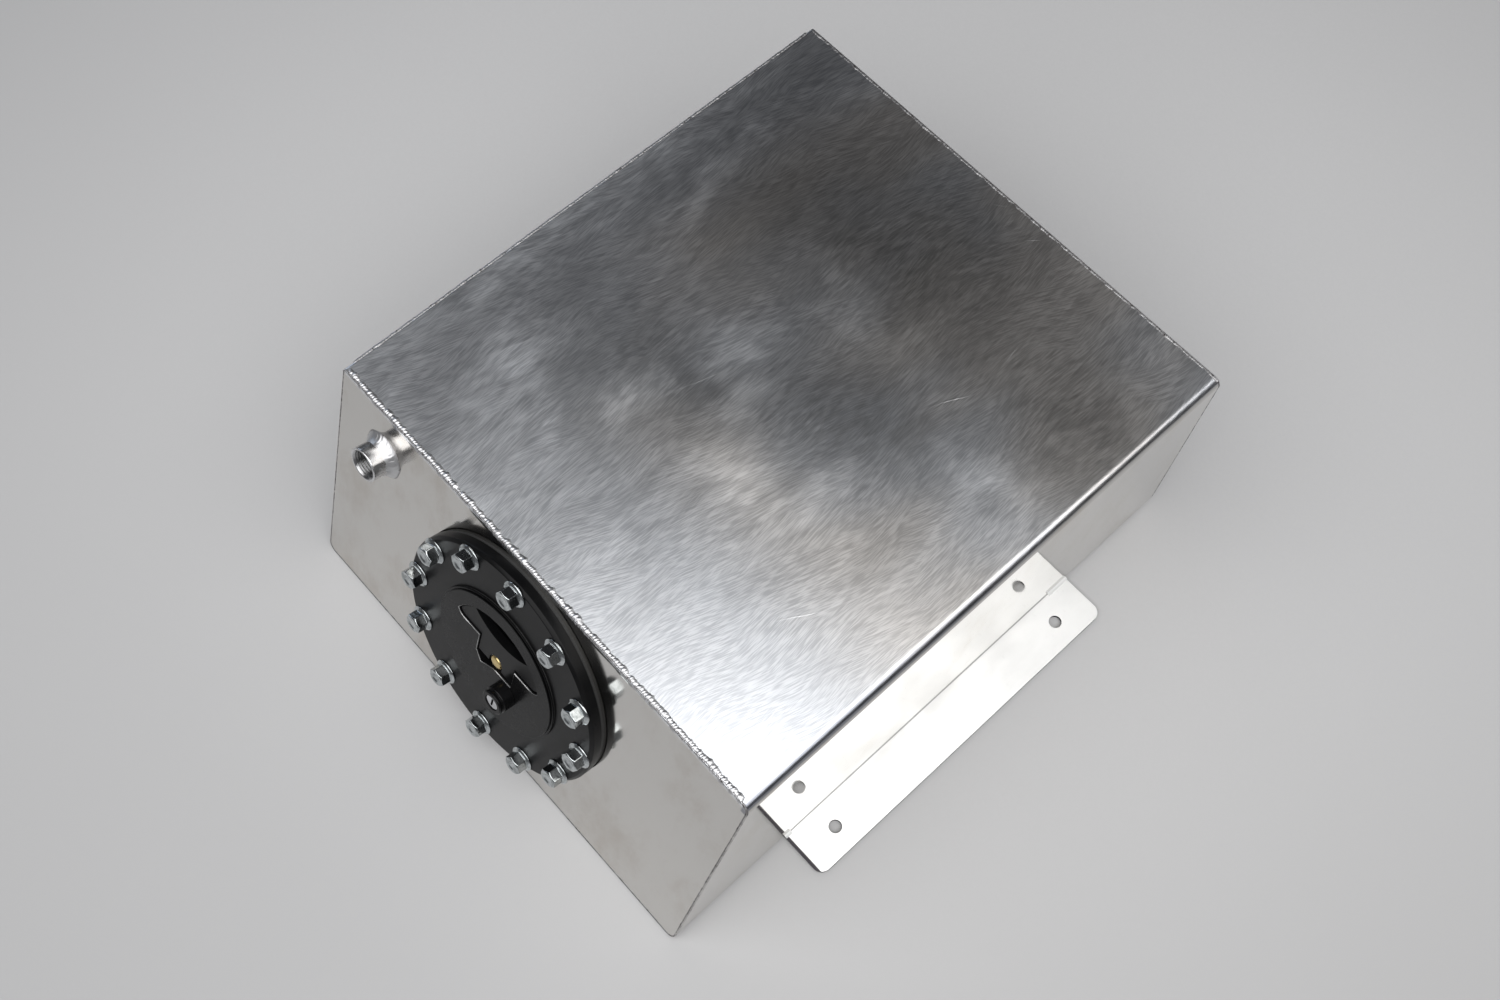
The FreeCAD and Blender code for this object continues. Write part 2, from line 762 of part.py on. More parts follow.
def latch_bar():
    """The bar under the neck's ledge, with round ends bevelled to lead it in."""
    foot = bar_top - bar_thickness
    half = bar_width / 2
    bar = box(-bar_half_length, bar_half_length, -half, half, foot, bar_top)
    bar = bar.common(tube(bar_half_length, foot, bar_top))
    bar = bar.cut(tube(stem_tail_radius, foot, bar_top))
    ends = [
        e
        for e in bar.Edges
        if abs(e.CenterOfMass.z - bar_top) < 1e-6 and abs(e.CenterOfMass.x) > neck_ledge_radius
    ]
    return bar.makeChamfer(bar_end_bevel, ends)


def latch_nut():
    """The nut that holds the latch bar on the stem."""
    high = bar_top - bar_thickness
    nut = hexagon(latch_nut_across_flats, high - latch_nut_thickness, high)
    return nut.cut(tube(stem_tail_radius, high - latch_nut_thickness, high))


def latch_spring():
    """The coil spring of square wire round the stem, between the cap's underside and the latch bar."""
    half = spring_wire / 2
    high = cap_plug_foot + spring_bore_depth - half - hinge_clearance
    low = bar_top + half + hinge_clearance
    path = Part.makeHelix((high - low) / spring_turns, high - low, spring_radius)
    path.translate(Vector(0, 0, low))
    corners = [(-half, -half), (half, -half), (half, half), (-half, half), (-half, -half)]
    profile = Part.makePolygon([Vector(spring_radius + x, 0, low + z) for x, z in corners])
    return Part.Wire(path).makePipeShell([profile], True, True)


def lock_housing():
    """The lock's housing: a stepped boss on the cap's face and a shank through the cap."""
    bezel_foot = lock_top - lock_bezel_height
    groove_foot = bezel_foot - lock_groove_height
    bore = lock_plug_radius + lock_plug_clearance
    waist = lock_bezel_radius - lock_groove_depth
    points = [
        (bore, lock_shank_foot),
        (lock_shank_radius, lock_shank_foot),
        (lock_shank_radius, cap_face),
        (lock_housing_radius, cap_face),
        (lock_housing_radius, groove_foot - lock_edge),
        (lock_housing_radius - lock_edge, groove_foot),
        (waist, groove_foot),
        (waist, bezel_foot),
        (lock_bezel_radius, bezel_foot),
        (lock_bezel_radius, lock_top - lock_edge),
        (lock_bezel_radius - lock_edge, lock_top),
        (bore, lock_top),
    ]
    housing = turned(points)
    housing.translate(Vector(lock_across, -lock_down, 0))
    return housing


def lock_plug():
    """The lock's turning plug, with a keyway in its face and a tail for the cam."""
    face = lock_top - lock_plug_sink
    tail = lock_shank_foot - lock_cam_gap - lock_cam_thickness
    points = [
        (0, tail),
        (lock_tail_radius, tail),
        (lock_tail_radius, lock_shank_foot),
        (lock_plug_radius, lock_shank_foot),
        (lock_plug_radius, face - lock_edge / 2),
        (lock_plug_radius - lock_edge / 2, face),
        (0, face),
    ]
    plug = turned(points)
    keyway = box(
        -lock_keyway_width / 2,
        lock_keyway_width / 2,
        -lock_keyway_length / 2,
        lock_keyway_length / 2,
        face - lock_keyway_depth,
        face + 1,
    )
    plug = plug.cut(keyway)
    plug.translate(Vector(lock_across, -lock_down, 0))
    return plug


def lock_cam():
    """The cam on the plug's tail: a hub and a round-ended tongue."""
    high = lock_shank_foot - lock_cam_gap
    low = high - lock_cam_thickness
    end = lock_cam_reach - lock_cam_end_radius
    cam = tube(lock_cam_hub_radius, low, high)
    cam = cam.fuse(box(0, end, -lock_cam_end_radius, lock_cam_end_radius, low, high))
    cam = cam.fuse(tube(lock_cam_end_radius, low, high, end, 0))
    cam = cam.cut(tube(lock_tail_radius, low, high)).removeSplitter()
    cam.translate(Vector(lock_across, -lock_down, 0))
    return cam


def main():
    """Builds every node and writes it to parts/."""
    hull = section_bar(0).common(side_wedge(0, 0))
    filler = front_wall_place(filler_across, filler_down)
    vent = front_wall_place(bung_across, bung_down)
    outlet = rear_wall_place(outlet_across, outlet_height)
    nodes = {
        "tank_wrap": tank_wrap(hull),
        "front_panel": front_panel(hull),
        "rear_panel": rear_panel(hull),
        "front_weld": front_weld(hull),
        "rear_weld": rear_weld(hull),
        "seam_weld": seam_weld(hull),
        "mount_flange_right": mount_flange(1),
        "mount_flange_left": mount_flange(-1),
        "flange_weld_right": flange_weld(1, hull),
        "flange_weld_left": flange_weld(-1, hull),
        "foam_block": foam_block(),
        "vent_bung": placed(bung(), vent),
        "vent_bung_weld": placed(bung_weld(), vent),
        "outlet_bung": placed(bung(), outlet),
        "outlet_bung_weld": placed(bung_weld(), outlet),
        "nut_ring": placed(nut_ring(), filler),
        "filler_gasket": placed(filler_gasket(), filler),
        "filler_plate": placed(filler_plate(), filler),
        "plate_bolts": placed(plate_bolts(), filler),
        "neck_gasket": placed(neck_gasket(), filler),
        "filler_neck": placed(filler_neck(), filler),
        "neck_nut": placed(neck_nut(), filler),
        "cap_body": placed(cap_body(), filler),
        "cap_seal": placed(cap_seal(), filler),
        "cap_lever": placed(cap_lever(), filler),
        "hinge_pin": placed(hinge_pin(), filler),
        "stem": placed(stem(), filler),
        "latch_bar": placed(latch_bar(), filler),
        "latch_nut": placed(latch_nut(), filler),
        "latch_spring": placed(latch_spring(), filler),
        "lock_housing": placed(lock_housing(), filler),
        "lock_plug": placed(lock_plug(), filler),
        "lock_cam": placed(lock_cam(), filler),
    }
    os.makedirs("parts", exist_ok=True)
    for name, shape in nodes.items():
        shape.exportStep(f"parts/{name}.step")
        print(name, "solids", len(shape.Solids), "volume", round(shape.Volume, 1), "valid", shape.isValid())


main()
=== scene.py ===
import logging
import math
import random
from dataclasses import dataclass, field
from enum import Enum
from typing import Callable, Iterable, Sequence

import bmesh
import bpy
from mathutils import Matrix, Quaternion, Vector


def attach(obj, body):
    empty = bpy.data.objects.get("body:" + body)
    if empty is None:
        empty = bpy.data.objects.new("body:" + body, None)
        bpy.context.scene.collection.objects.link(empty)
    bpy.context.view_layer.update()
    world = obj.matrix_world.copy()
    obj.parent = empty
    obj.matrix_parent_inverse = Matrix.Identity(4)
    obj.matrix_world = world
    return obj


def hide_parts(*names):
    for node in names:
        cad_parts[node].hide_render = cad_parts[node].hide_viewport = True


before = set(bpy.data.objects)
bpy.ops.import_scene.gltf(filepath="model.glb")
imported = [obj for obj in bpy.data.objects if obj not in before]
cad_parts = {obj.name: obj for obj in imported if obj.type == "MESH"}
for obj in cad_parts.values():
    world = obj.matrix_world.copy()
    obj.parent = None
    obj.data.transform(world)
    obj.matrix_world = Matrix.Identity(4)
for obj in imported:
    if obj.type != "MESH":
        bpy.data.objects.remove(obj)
LOG = logging.getLogger("fuel_cell_tank")
MM = 0.001
Number = "Value | float"
Triple = tuple[float, float, float]
Color = Triple
Band = tuple[float, float]
Material = bpy.types.Material
UNIT: Triple = (1.0, 1.0, 1.0)
WHITE: Color = UNIT


# Shader arithmetic


class Axis(Enum):
    """An axis of the shared frame, by its number."""

    X = 0
    Y = 1
    Z = 2


def operator(operation: str, reflected: bool = False) -> Callable[["Value", Number], "Value"]:
    """An operator that adds one Math node.

    Args:
        operation: the node's operation.
        reflected: whether the number is on the left.

    Returns:
        The operator's function.
    """

    def apply(self: "Value", other: Number) -> "Value":
        """Adds the node."""
        terms = (other, self) if reflected else (self, other)
        return self.graph.math(operation, *terms)

    return apply


class Value:
    """A shader socket that takes part in arithmetic."""

    __add__ = operator("ADD")
    __radd__ = operator("ADD", reflected=True)
    __sub__ = operator("SUBTRACT")
    __rsub__ = operator("SUBTRACT", reflected=True)
    __mul__ = operator("MULTIPLY")
    __rmul__ = operator("MULTIPLY", reflected=True)

    def __init__(self, graph: "Graph", socket: bpy.types.NodeSocket) -> None:
        """Wraps the socket of a graph's node."""
        self.graph = graph
        self.socket = socket


class Graph:
    """The node tree of one material or of the world."""

    def __init__(self, tree: bpy.types.NodeTree) -> None:
        """Starts the tree afresh."""
        self.tree = tree
        tree.nodes.clear()

    def node(
        self, kind: str, settings: dict | None = None, inputs: dict | None = None, output: int | str = 0,
    ) -> Value:
        """Adds one node.

        Args:
            kind: the node's type.
            settings: its properties, set first.
            inputs: values or links of its sockets, by name or number.
            output: the socket that is wanted.

        Returns:
            The wanted output.
        """
        made = self.tree.nodes.new(kind)
        for name, setting in (settings or {}).items():
            setattr(made, name, setting)
        for key, given in (inputs or {}).items():
            if isinstance(given, Value):
                self.tree.links.new(given.socket, made.inputs[key])
            else:
                made.inputs[key].default_value = given
        return Value(self, made.outputs[output] if made.outputs else None)

    def math(self, operation: str, *terms: Number) -> Value:
        """A Math node on its terms."""
        return self.node("ShaderNodeMath", {"operation": operation}, dict(enumerate(terms)))

    def vector(self, operation: str, *terms: "Value | Triple", output: int | str = 0) -> Value:
        """A Vector Math node on its terms."""
        return self.node("ShaderNodeVectorMath", {"operation": operation}, dict(enumerate(terms)), output)

    def mix(self, share: Number, first: "Value | Color", second: "Value | Color") -> Value:
        """A colour between two colours."""
        colors = [c if isinstance(c, Value) else (*c, 1.0) for c in (first, second)]
        inputs = {0: share, 6: colors[0], 7: colors[1]}
        return self.node("ShaderNodeMix", {"data_type": "RGBA"}, inputs, 2)

    def smooth(self, given: Number, low: float, high: float) -> Value:
        """0 at low and 1 at high, with a soft step between them."""
        settings = {"interpolation_type": "SMOOTHSTEP"}
        return self.node("ShaderNodeMapRange", settings, {0: given, 1: low, 2: high})

    def point(self, scale: Triple = UNIT, turn: float = 0.0, shift: "Value | None" = None) -> Value:
        """The surface point at rest, in metres, turned about the upright axis and then scaled.

        Args:
            scale: factor along each axis.
            turn: angle in degrees.
            shift: a vector that is added first.

        Returns:
            The scaled point.
        """
        place = self.node("ShaderNodeTexCoord", output="Object")
        if shift is not None:
            place = self.vector("ADD", place, shift)
        if turn:
            place = self.node("ShaderNodeVectorRotate", {}, {"Vector": place, "Angle": math.radians(turn)})
        return place if scale == UNIT else self.vector("MULTIPLY", place, scale)

    def noise(
        self, cells: "float | Triple | Value", detail: float = 2.0, rough: float = 0.5, turn: float = 0.0,
        shift: "Value | None" = None, output: str = "Fac",
    ) -> Value:
        """Fractal noise on the surface.

        Args:
            cells: cells to the metre, the same for all axes or for each, or the place where the noise is read.
            detail: octaves.
            rough: how strong each finer octave is.
            turn: angle of the cells in degrees, about the upright axis.
            shift: a vector that moves the cells.
            output: the socket that is wanted.

        Returns:
            The noise, about 0.5.
        """
        if not isinstance(cells, Value):
            cells = self.point(cells if isinstance(cells, tuple) else (cells,) * 3, turn, shift)
        inputs = {"Vector": cells, "Scale": 1.0, "Detail": detail, "Roughness": rough}
        return self.node("ShaderNodeTexNoise", {}, inputs, output)

    def wander(self, size: float, amount: float) -> Value:
        """A vector that wanders slowly over the surface.

        Args:
            size: metres from one bend to the next, about.
            amount: metres that it moves a point by, about.

        Returns:
            The vector.
        """
        color = self.noise(1.0 / size, 1.0, output="Color")
        return self.vector("MULTIPLY", self.vector("SUBTRACT", color, (0.5,) * 3), (3.0 * amount,) * 3)

    def coordinate(self, axis: Axis) -> Value:
        """One coordinate of the surface point, in metres."""
        return self.node("ShaderNodeSeparateXYZ", inputs={0: self.point()}, output=axis.value)

    def turned(self, place: "Place") -> tuple[Value, Value]:
        """How far along a place's outward axis the surface point is, and how far from that axis, in metres."""
        offset = self.vector("SUBTRACT", self.point(), tuple(place.origin * MM))
        along = self.vector("DOT_PRODUCT", offset, tuple(place.out), output="Value")
        length = self.vector("LENGTH", offset, output="Value")
        return along, self.math("SQRT", self.math("MAXIMUM", length * length - along * along, 0.0))

    def mark(self, name: str) -> Value:
        """A number that the mesh carries at each of its points."""
        return self.node("ShaderNodeAttribute", {"attribute_name": name}, output="Fac")

    def bump(self, height: Value, distance: float) -> Value:
        """A normal from a height between 0 and 1, with the real height of 1 in metres."""
        return self.node("ShaderNodeBump", {}, {"Height": height, "Strength": 1.0, "Distance": distance}, "Normal")

    def surface(self, **inputs: "Value | float | Color") -> None:
        """The principled surface. Underscores in an input's name stand for spaces."""
        named = {}
        for name, given in inputs.items():
            named[name.replace("_", " ")] = (*given, 1.0) if isinstance(given, tuple) else given
        shader = self.node("ShaderNodeBsdfPrincipled", {}, named)
        self.node("ShaderNodeOutputMaterial", {}, {"Surface": shader})


# Places and meshes


class End(Enum):
    """An end wall of the tank, by the way that it leans along Y."""

    FRONT = 1
    REAR = -1


@dataclass(frozen=True)
class Place:
    """A local frame on the tank, in millimetres: origin, own x, own y and the way out of the wall."""

    origin: Vector
    across: Vector
    up: Vector
    out: Vector

    def at(self, x: float, y: float, z: float) -> Vector:
        """The point with these local coordinates."""
        return self.origin + self.across * x + self.up * y + self.out * z

    def around(self, radius: float, angle: float, z: float) -> Vector:
        """The point at a radius from the way out and at an angle round it, in radians."""
        return self.at(radius * math.cos(angle), radius * math.sin(angle), z)


@dataclass(frozen=True)
class Hull:
    """The tank's outside, in millimetres. The front wall leans back and the rear wall a little forward."""

    width: float = 280.0
    length: float = 350.0
    height: float = 140.6
    front_setback: float = 47.8
    rear_setback: float = 2.2
    sheet: float = 3.175
    fold: float = 4.8
    seam: float = 2.0
    least_radius: float = 0.3
    corner_loop: float = 0.4

    def _setback(self, end: End) -> float:
        """How far an end wall's top edge lies inside its foot."""
        return self.front_setback if end is End.FRONT else self.rear_setback

    def wall_y(self, end: End, z: float, inset: float = 0.0) -> float:
        """Where an end wall is at a height, or a plane that lies inset inside it."""
        slope = self._setback(end) / self.height
        return end.value * (z * slope + inset * math.hypot(1.0, slope) - self.length / 2)

    def down_to(self, end: End, z: float) -> float:
        """How far down an end wall a height lies."""
        return (self.height - z) * math.hypot(1.0, self._setback(end) / self.height)

    def place(self, end: End, across: float, down: float) -> Place:
        """A place on an end wall, down along it from its top edge."""
        up = Vector((0.0, end.value * self._setback(end), self.height)).normalized()
        top = Vector((across, self.wall_y(end, self.height), self.height))
        return Place(top - up * down, Vector((end.value, 0, 0)), up, Vector((0, -up.z, up.y)) * end.value)

    def section(self, inset: float, arc_steps: int, spacing: float) -> list[tuple[float, float]]:
        """The tank's cross-section outline, seen from the front, as (x, z) points.

        Args:
            inset: how far inside the outer skin.
            arc_steps: steps round each corner.
            spacing: about how far apart the points on the straight sides are.

        Returns:
            The points from the top left corner, over the top and round to the left side's upper end.
        """
        half = self.width / 2 - inset
        low, high = inset, self.height - inset
        fold, seam = (max(radius - inset, self.least_radius) for radius in (self.fold, self.seam))
        corners = [(half, high, fold, 90), (half, low, fold, 0), (-half, low, fold, -90), (-half, high, seam, 180)]
        points: list[tuple[float, float]] = []
        for x, z, radius, start in corners:
            middle = (x - math.copysign(radius, x), z + (radius if z == low else -radius))
            for step in range(arc_steps + 1):
                angle = math.radians(start - 90.0 * step / arc_steps)
                points.append((middle[0] + radius * math.cos(angle), middle[1] + radius * math.sin(angle)))
        dense: list[tuple[float, float]] = []
        for index, (x, z) in enumerate(points):
            dense.append((x, z))
            after = points[(index + 1) % len(points)]
            run = math.hypot(after[0] - x, after[1] - z)
            if run <= spacing:
                continue
            loop, parts = self.corner_loop / run, math.ceil(run / spacing)
            shares = [loop, *(k / parts for k in range(1, parts)), 1 - loop]
            dense.extend((x + (after[0] - x) * s, z + (after[1] - z) * s) for s in shares)
        return dense


HULL = Hull()
FILLER = HULL.place(End.FRONT, -1.9, 70.1)
VENT = HULL.place(End.FRONT, -105.8, 28.5)
OUTLET = HULL.place(End.REAR, 95.0, HULL.down_to(End.REAR, 24.0))


def turns(count: int) -> list[float]:
    """Evenly spaced angles round a full turn, in radians."""
    return [2 * math.pi * number / count for number in range(count)]


class Draft:
    """Collects the points, faces and marks of one mesh, in millimetres."""

    def __init__(self) -> None:
        """Starts an empty mesh."""
        self.points: list[Vector] = []
        self.faces: list[tuple[int, ...]] = []
        self.marks: list[float] = []

    def grid(
        self, rows: Sequence[Sequence[Vector]], loop: bool = False, marks: Sequence[Sequence[float]] | None = None,
    ) -> int:
        """Adds rows of points, each closed to a ring, joined by quads.

        Args:
            rows: the rows, all of one length.
            loop: whether the last row joins the first.
            marks: a number for each point.

        Returns:
            The number of the first point.
        """
        first = len(self.points)
        size = len(rows[0])
        for number, row in enumerate(rows):
            self.points.extend(row)
            self.marks.extend(marks[number] if marks else [0.0] * size)
        for row in range(len(rows) if loop else len(rows) - 1):
            near = first + row * size
            far = first + (row + 1) % len(rows) * size
            for column in range(size):
                after = (column + 1) % size
                self.faces.append((near + column, near + after, far + after, far + column))
        return first

    def close(self, first: int, size: int) -> None:
        """Closes a ring of points with one flat face."""
        self.faces.append(tuple(range(first, first + size)))

    def cap(self, first: int, rows: int, size: int) -> None:
        """Closes the two ends of a grid."""
        self.close(first, size)
        self.close(first + (rows - 1) * size, size)

    def piece(self, name: str) -> bpy.types.Object:
        """Turns the draft into a smooth object with its faces outward."""
        mesh = bpy.data.meshes.new(name)
        mesh.from_pydata([p * MM for p in self.points], [], self.faces)
        # the marks: how far dirt and painted shade darken a finish at each point
        mark = mesh.attributes.new("dirt_and_shade", "FLOAT", "POINT")
        mark.data.foreach_set("value", self.marks)
        work = bmesh.new()
        work.from_mesh(mesh)
        bmesh.ops.recalc_face_normals(work, faces=work.faces)
        work.to_mesh(mesh)
        work.free()
        mesh.shade_smooth()
        made = bpy.data.objects.new(name, mesh)
        bpy.context.scene.collection.objects.link(made)
        return made


def softened(node: str, width: float) -> bpy.types.Object:
    """A copy of a node's solid whose edges are eased.

    Args:
        node: the node.
        width: the bevel's width in millimetres.

    Returns:
        The new object.
    """
    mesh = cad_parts[node].data.copy()
    work = bmesh.new()
    work.from_mesh(mesh)
    bmesh.ops.remove_doubles(work, verts=work.verts, dist=2e-6)
    bmesh.ops.dissolve_limit(work, angle_limit=math.radians(0.6), verts=work.verts, edges=work.edges)
    bmesh.ops.recalc_face_normals(work, faces=work.faces)
    work.to_mesh(mesh)
    work.free()
    mesh.shade_smooth()
    made = bpy.data.objects.new(node + "_dressed", mesh)
    bpy.context.scene.collection.objects.link(made)
    bevel = made.modifiers.new("eased edges", "BEVEL")
    bevel.width = width * MM
    bevel.segments = 2
    bevel.limit_method = "ANGLE"
    bevel.angle_limit = math.radians(32)
    bevel.miter_outer = "MITER_ARC"
    bevel.use_clamp_overlap = True
    weight = made.modifiers.new("flat faces", "WEIGHTED_NORMAL")
    weight.keep_sharp = True
    return made


def dress(piece: bpy.types.Object, material: Material, body: str, slot: str, *nodes: str) -> None:
    """Gives a piece its finish, its body and the nodes that it stands for.

    Args:
        piece: the piece.
        material: its finish.
        body: the body that it rides on.
        slot: not used.
        nodes: the nodes that it stands for.
    """
    piece.data.materials.clear()
    piece.data.materials.append(material)
    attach(piece, body)
    if nodes:
        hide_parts(*nodes)
    LOG.info("%s stands for %s", piece.name, ", ".join(nodes) or "nothing, it is added")


def repaint(node: str, material: Material) -> None:
    """Gives a node's own object a better material."""
    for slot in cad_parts[node].material_slots:
        slot.link = "OBJECT"
        slot.material = material
    LOG.info("%s keeps its solid", node)


# Finishes


@dataclass(frozen=True)
class Finish:
    """A finish, by its material's name. Each kind fills its own tree."""

    name: str

    def paint(self, graph: Graph) -> None:
        """Fills the material's tree."""
        raise NotImplementedError

    def material(self) -> Material:
        """Builds the material."""
        made = bpy.data.materials.new(self.name)
        made.use_nodes = True
        self.paint(Graph(made.node_tree))
        return made


@dataclass(frozen=True)
class Patch:
    """A soft patch on the tank's top, in millimetres and degrees, brighter or duller than what is round it."""

    x: float
    y: float
    half_across: float
    half_along: float
    turn: float
    strength: float


@dataclass(frozen=True)
class SheetFinish(Finish):
    """The tank's sheet: bright rolled walls, and a top rubbed with a fine pad along the tank.

    The bands give where a soft step starts and ends, in metres along an axis.
    """

    wall: Color = (0.67, 0.655, 0.63)
    wall_smudge: Color = (0.6, 0.57, 0.52)
    top_bright: Color = WHITE
    top_dull: Color = (0.58, 0.585, 0.59)
    bluish: Color = (0.8, 0.84, 0.91)
    brownish: Color = (0.9, 0.83, 0.76)
    # painted shade: the dark colour that the top's painted shade patches pull it towards
    shade: Color = (0.1, 0.1, 0.1)
    # painted reflection: the dark colour of the band on the right fold
    fold: Color = (0.2, 0.21, 0.25)
    name: str = "sheet_aluminium"
    wall_roughness: float = 0.045
    top_roughness: float = 0.3
    least_roughness: float = 0.29
    top_band: Band = (0.1376, 0.1401)
    # painted shade: where the dark line along the foot of the walls fades out
    foot_shade_band: Band = (0.0014, 0.0002)
    warm_along: Band = (-0.08, -0.01)
    warm_across: Band = (-0.12, -0.07)
    # painted reflection: where the right fold's dark band lies and how it fades towards the rear
    fold_reflection_inner: Band = (0.136, 0.137)
    fold_reflection_outer: Band = (0.1392, 0.1397)
    fold_reflection_height: Band = (0.1353, 0.136)
    fold_reflection_fade: Band = (0.0, 0.09)
    relief: float = 0.0008
    patches: tuple[Patch, ...] = (
        Patch(-25, 18, 11, 17, 12, 0.9), Patch(-5, -3, 8, 20, 14, 1.0), Patch(55, -3, 9, 17, -4, 1.0),
        Patch(28, -28, 24, 13, -20, 0.8), Patch(-36, -28, 12, 26, 16, 0.7), Patch(-88, -74, 13, 26, -22, 0.7),
        Patch(-50, -80, 14, 20, 10, 0.5), Patch(100, 56, 26, 10, -14, 0.7), Patch(-138, 30, 12, 130, 0, 0.7),
        Patch(-22, 78, 26, 9, 4, 0.5), Patch(5, 66, 18, 8, -12, 0.5), Patch(-110, 108, 7, 14, -24, 0.6),
        Patch(-102, 60, 9, 30, -16, 0.5), Patch(70, 118, 16, 26, -24, 0.35), Patch(26, 84, 6, 30, 6, 0.4),
        Patch(-62, -52, 17, 11, 6, -0.8), Patch(-22, -14, 18, 10, 10, -0.7), Patch(-56, 70, 32, 34, 0, -0.5),
        Patch(46, 40, 34, 18, -8, -0.6), Patch(118, 118, 16, 10, 0, -0.6), Patch(-40, -66, 16, 8, 0, -0.5),
    )
    # painted shade: dark patches on the top that stand in for dark reflections
    painted_shade_patches: tuple[Patch, ...] = (
        Patch(0, 112, 92, 50, 0, 0.55), Patch(28, 22, 60, 36, -10, 0.5), Patch(112, 104, 42, 46, 0, 0.42),
        Patch(-50, -18, 38, 26, 0, 0.4),
    )
    scratches: tuple[Patch, ...] = (
        Patch(62, 72, 0.3, 9, 24, 1.0), Patch(64, 108, 0.25, 6, -12, 0.8), Patch(27, 164, 0.3, 4, 40, 1.0),
        Patch(2, 166, 0.3, 4, 52, 0.8), Patch(-24, -8, 0.25, 12, 18, 0.6), Patch(-70, 30, 0.2, 16, -8, 0.5),
        Patch(92, -52, 0.2, 13, 30, 0.5), Patch(30, 20, 0.2, 10, -34, 0.5), Patch(-96, -60, 0.2, 9, 16, 0.5),
    )

    def _patches(self, graph: Graph, drift: Value, patches: Sequence[Patch]) -> Value:
        """The sum of some of the top's patches.

        Args:
            graph: the material's tree.
            drift: a vector that makes their outlines uneven.
            patches: the patches.

        Returns:
            Their summed strength at the surface point.
        """
        place = graph.vector("ADD", graph.point(), drift)
        total: Number = 0.0
        for patch in patches:
            scale = (1 / (patch.half_across * MM), 1 / (patch.half_along * MM), 0.0)
            near = graph.vector("SUBTRACT", place, (patch.x * MM, patch.y * MM, 0.0))
            near = graph.node("ShaderNodeVectorRotate", {}, {"Vector": near, "Angle": math.radians(patch.turn)})
            length = graph.vector("LENGTH", graph.vector("MULTIPLY", near, scale), output="Value")
            total = (1.0 - graph.smooth(length, 0.0, 1.7)) * patch.strength + total
        return total

    def paint(self, graph: Graph) -> None:
        """Fills the material's tree."""
        across, along, height = (graph.coordinate(axis) for axis in Axis)
        top = graph.smooth(height, *self.top_band)

        # The pad's strokes in two directions, and the streaks and clouds that they add up to
        drift, small_drift = graph.wander(0.08, 0.005), graph.wander(0.02, 0.007)
        fine = graph.noise((1800, 120, 1), 1.0, 0.6, -4, drift)
        arcs = graph.noise((1700, 120, 1), 1.0, turn=14, shift=graph.wander(0.09, 0.008))
        region = graph.smooth(graph.noise((34, 20, 1), 1.0, turn=6, shift=small_drift), 0.44, 0.56)
        broad = graph.noise((900, 46, 1), turn=-9, shift=drift)
        strokes = (fine + (arcs - fine) * region) * 0.8 + broad * 0.2
        streaks = graph.noise((170, 62, 1), 4.0, 0.55, 9, drift)
        clouds = graph.noise((52, 20, 1), 3.0, turn=-4, shift=small_drift)
        patches = self._patches(graph, small_drift, self.patches) * (0.45 + graph.smooth(streaks, 0.32, 0.66) * 0.6)
        scratches = self._patches(graph, graph.wander(0.02, 0.0006), self.scratches)

        # Roughness
        rubbed = (clouds - 0.42) * 0.12 + (streaks - 0.5) * 0.07 + patches * 0.085 + (strokes - 0.5) * 0.1
        top_roughness = graph.math("MAXIMUM", self.top_roughness + rubbed, self.least_roughness)
        smudge = graph.smooth(graph.noise((38, 38, 17), 5.0, 0.65), 0.44, 0.74)
        wall_roughness = self.wall_roughness + smudge * 0.05
        roughness = wall_roughness + (top_roughness - wall_roughness) * top

        # Colour: top with painted shade, walls, painted dark reflection on the right fold, painted shade at the foot
        warm = graph.smooth(graph.noise((9, 7, 1)), 0.38, 0.6)
        warm = warm * graph.smooth(along, *self.warm_along) * graph.smooth(across, *self.warm_across)
        stroke = graph.smooth(strokes + (streaks - 0.5) * 0.06, 0.37, 0.63)
        top_color = graph.mix(stroke, self.top_dull, self.top_bright)
        top_color = graph.mix(0.45, top_color, graph.mix(warm, self.bluish, self.brownish))
        top_color = graph.mix(scratches * 0.7, top_color, WHITE)
        # painted shade: dark patches with streaky edges mixed into the top's colour
        feather = 0.62 + graph.smooth(streaks * 0.6 + clouds * 0.4, 0.38, 0.6) * 0.55
        painted_shade_patches = self._patches(graph, graph.wander(0.055, 0.016), self.painted_shade_patches) * feather
        top_color = graph.mix(painted_shade_patches, top_color, self.shade)
        color = graph.mix(top, graph.mix(smudge, self.wall, self.wall_smudge), top_color)
        # painted reflection: a dark band along the right fold, weaker towards the rear
        fold = graph.smooth(across, *self.fold_reflection_inner) * (1.0 - graph.smooth(across, *self.fold_reflection_outer))
        fold = fold * graph.smooth(height, *self.fold_reflection_height) * (1.0 - graph.smooth(along, *self.fold_reflection_fade) * 0.75)
        # painted shade: a dark line along the foot of the walls
        foot = graph.smooth(height, *self.foot_shade_band)
        color = graph.mix(graph.math("MAXIMUM", fold * 0.75, foot * 0.6), color, self.fold)

        waves = graph.noise((11, 8, 12), 1.0)
        grain = graph.noise((1600, 30, 1600))
        relief = waves * (0.35 + top * 0.65) + (strokes * 0.035 + scratches * 0.05) * top + grain * 0.001
        graph.surface(Base_Color=color, Metallic=1.0, Roughness=roughness, Normal=graph.bump(relief, self.relief))


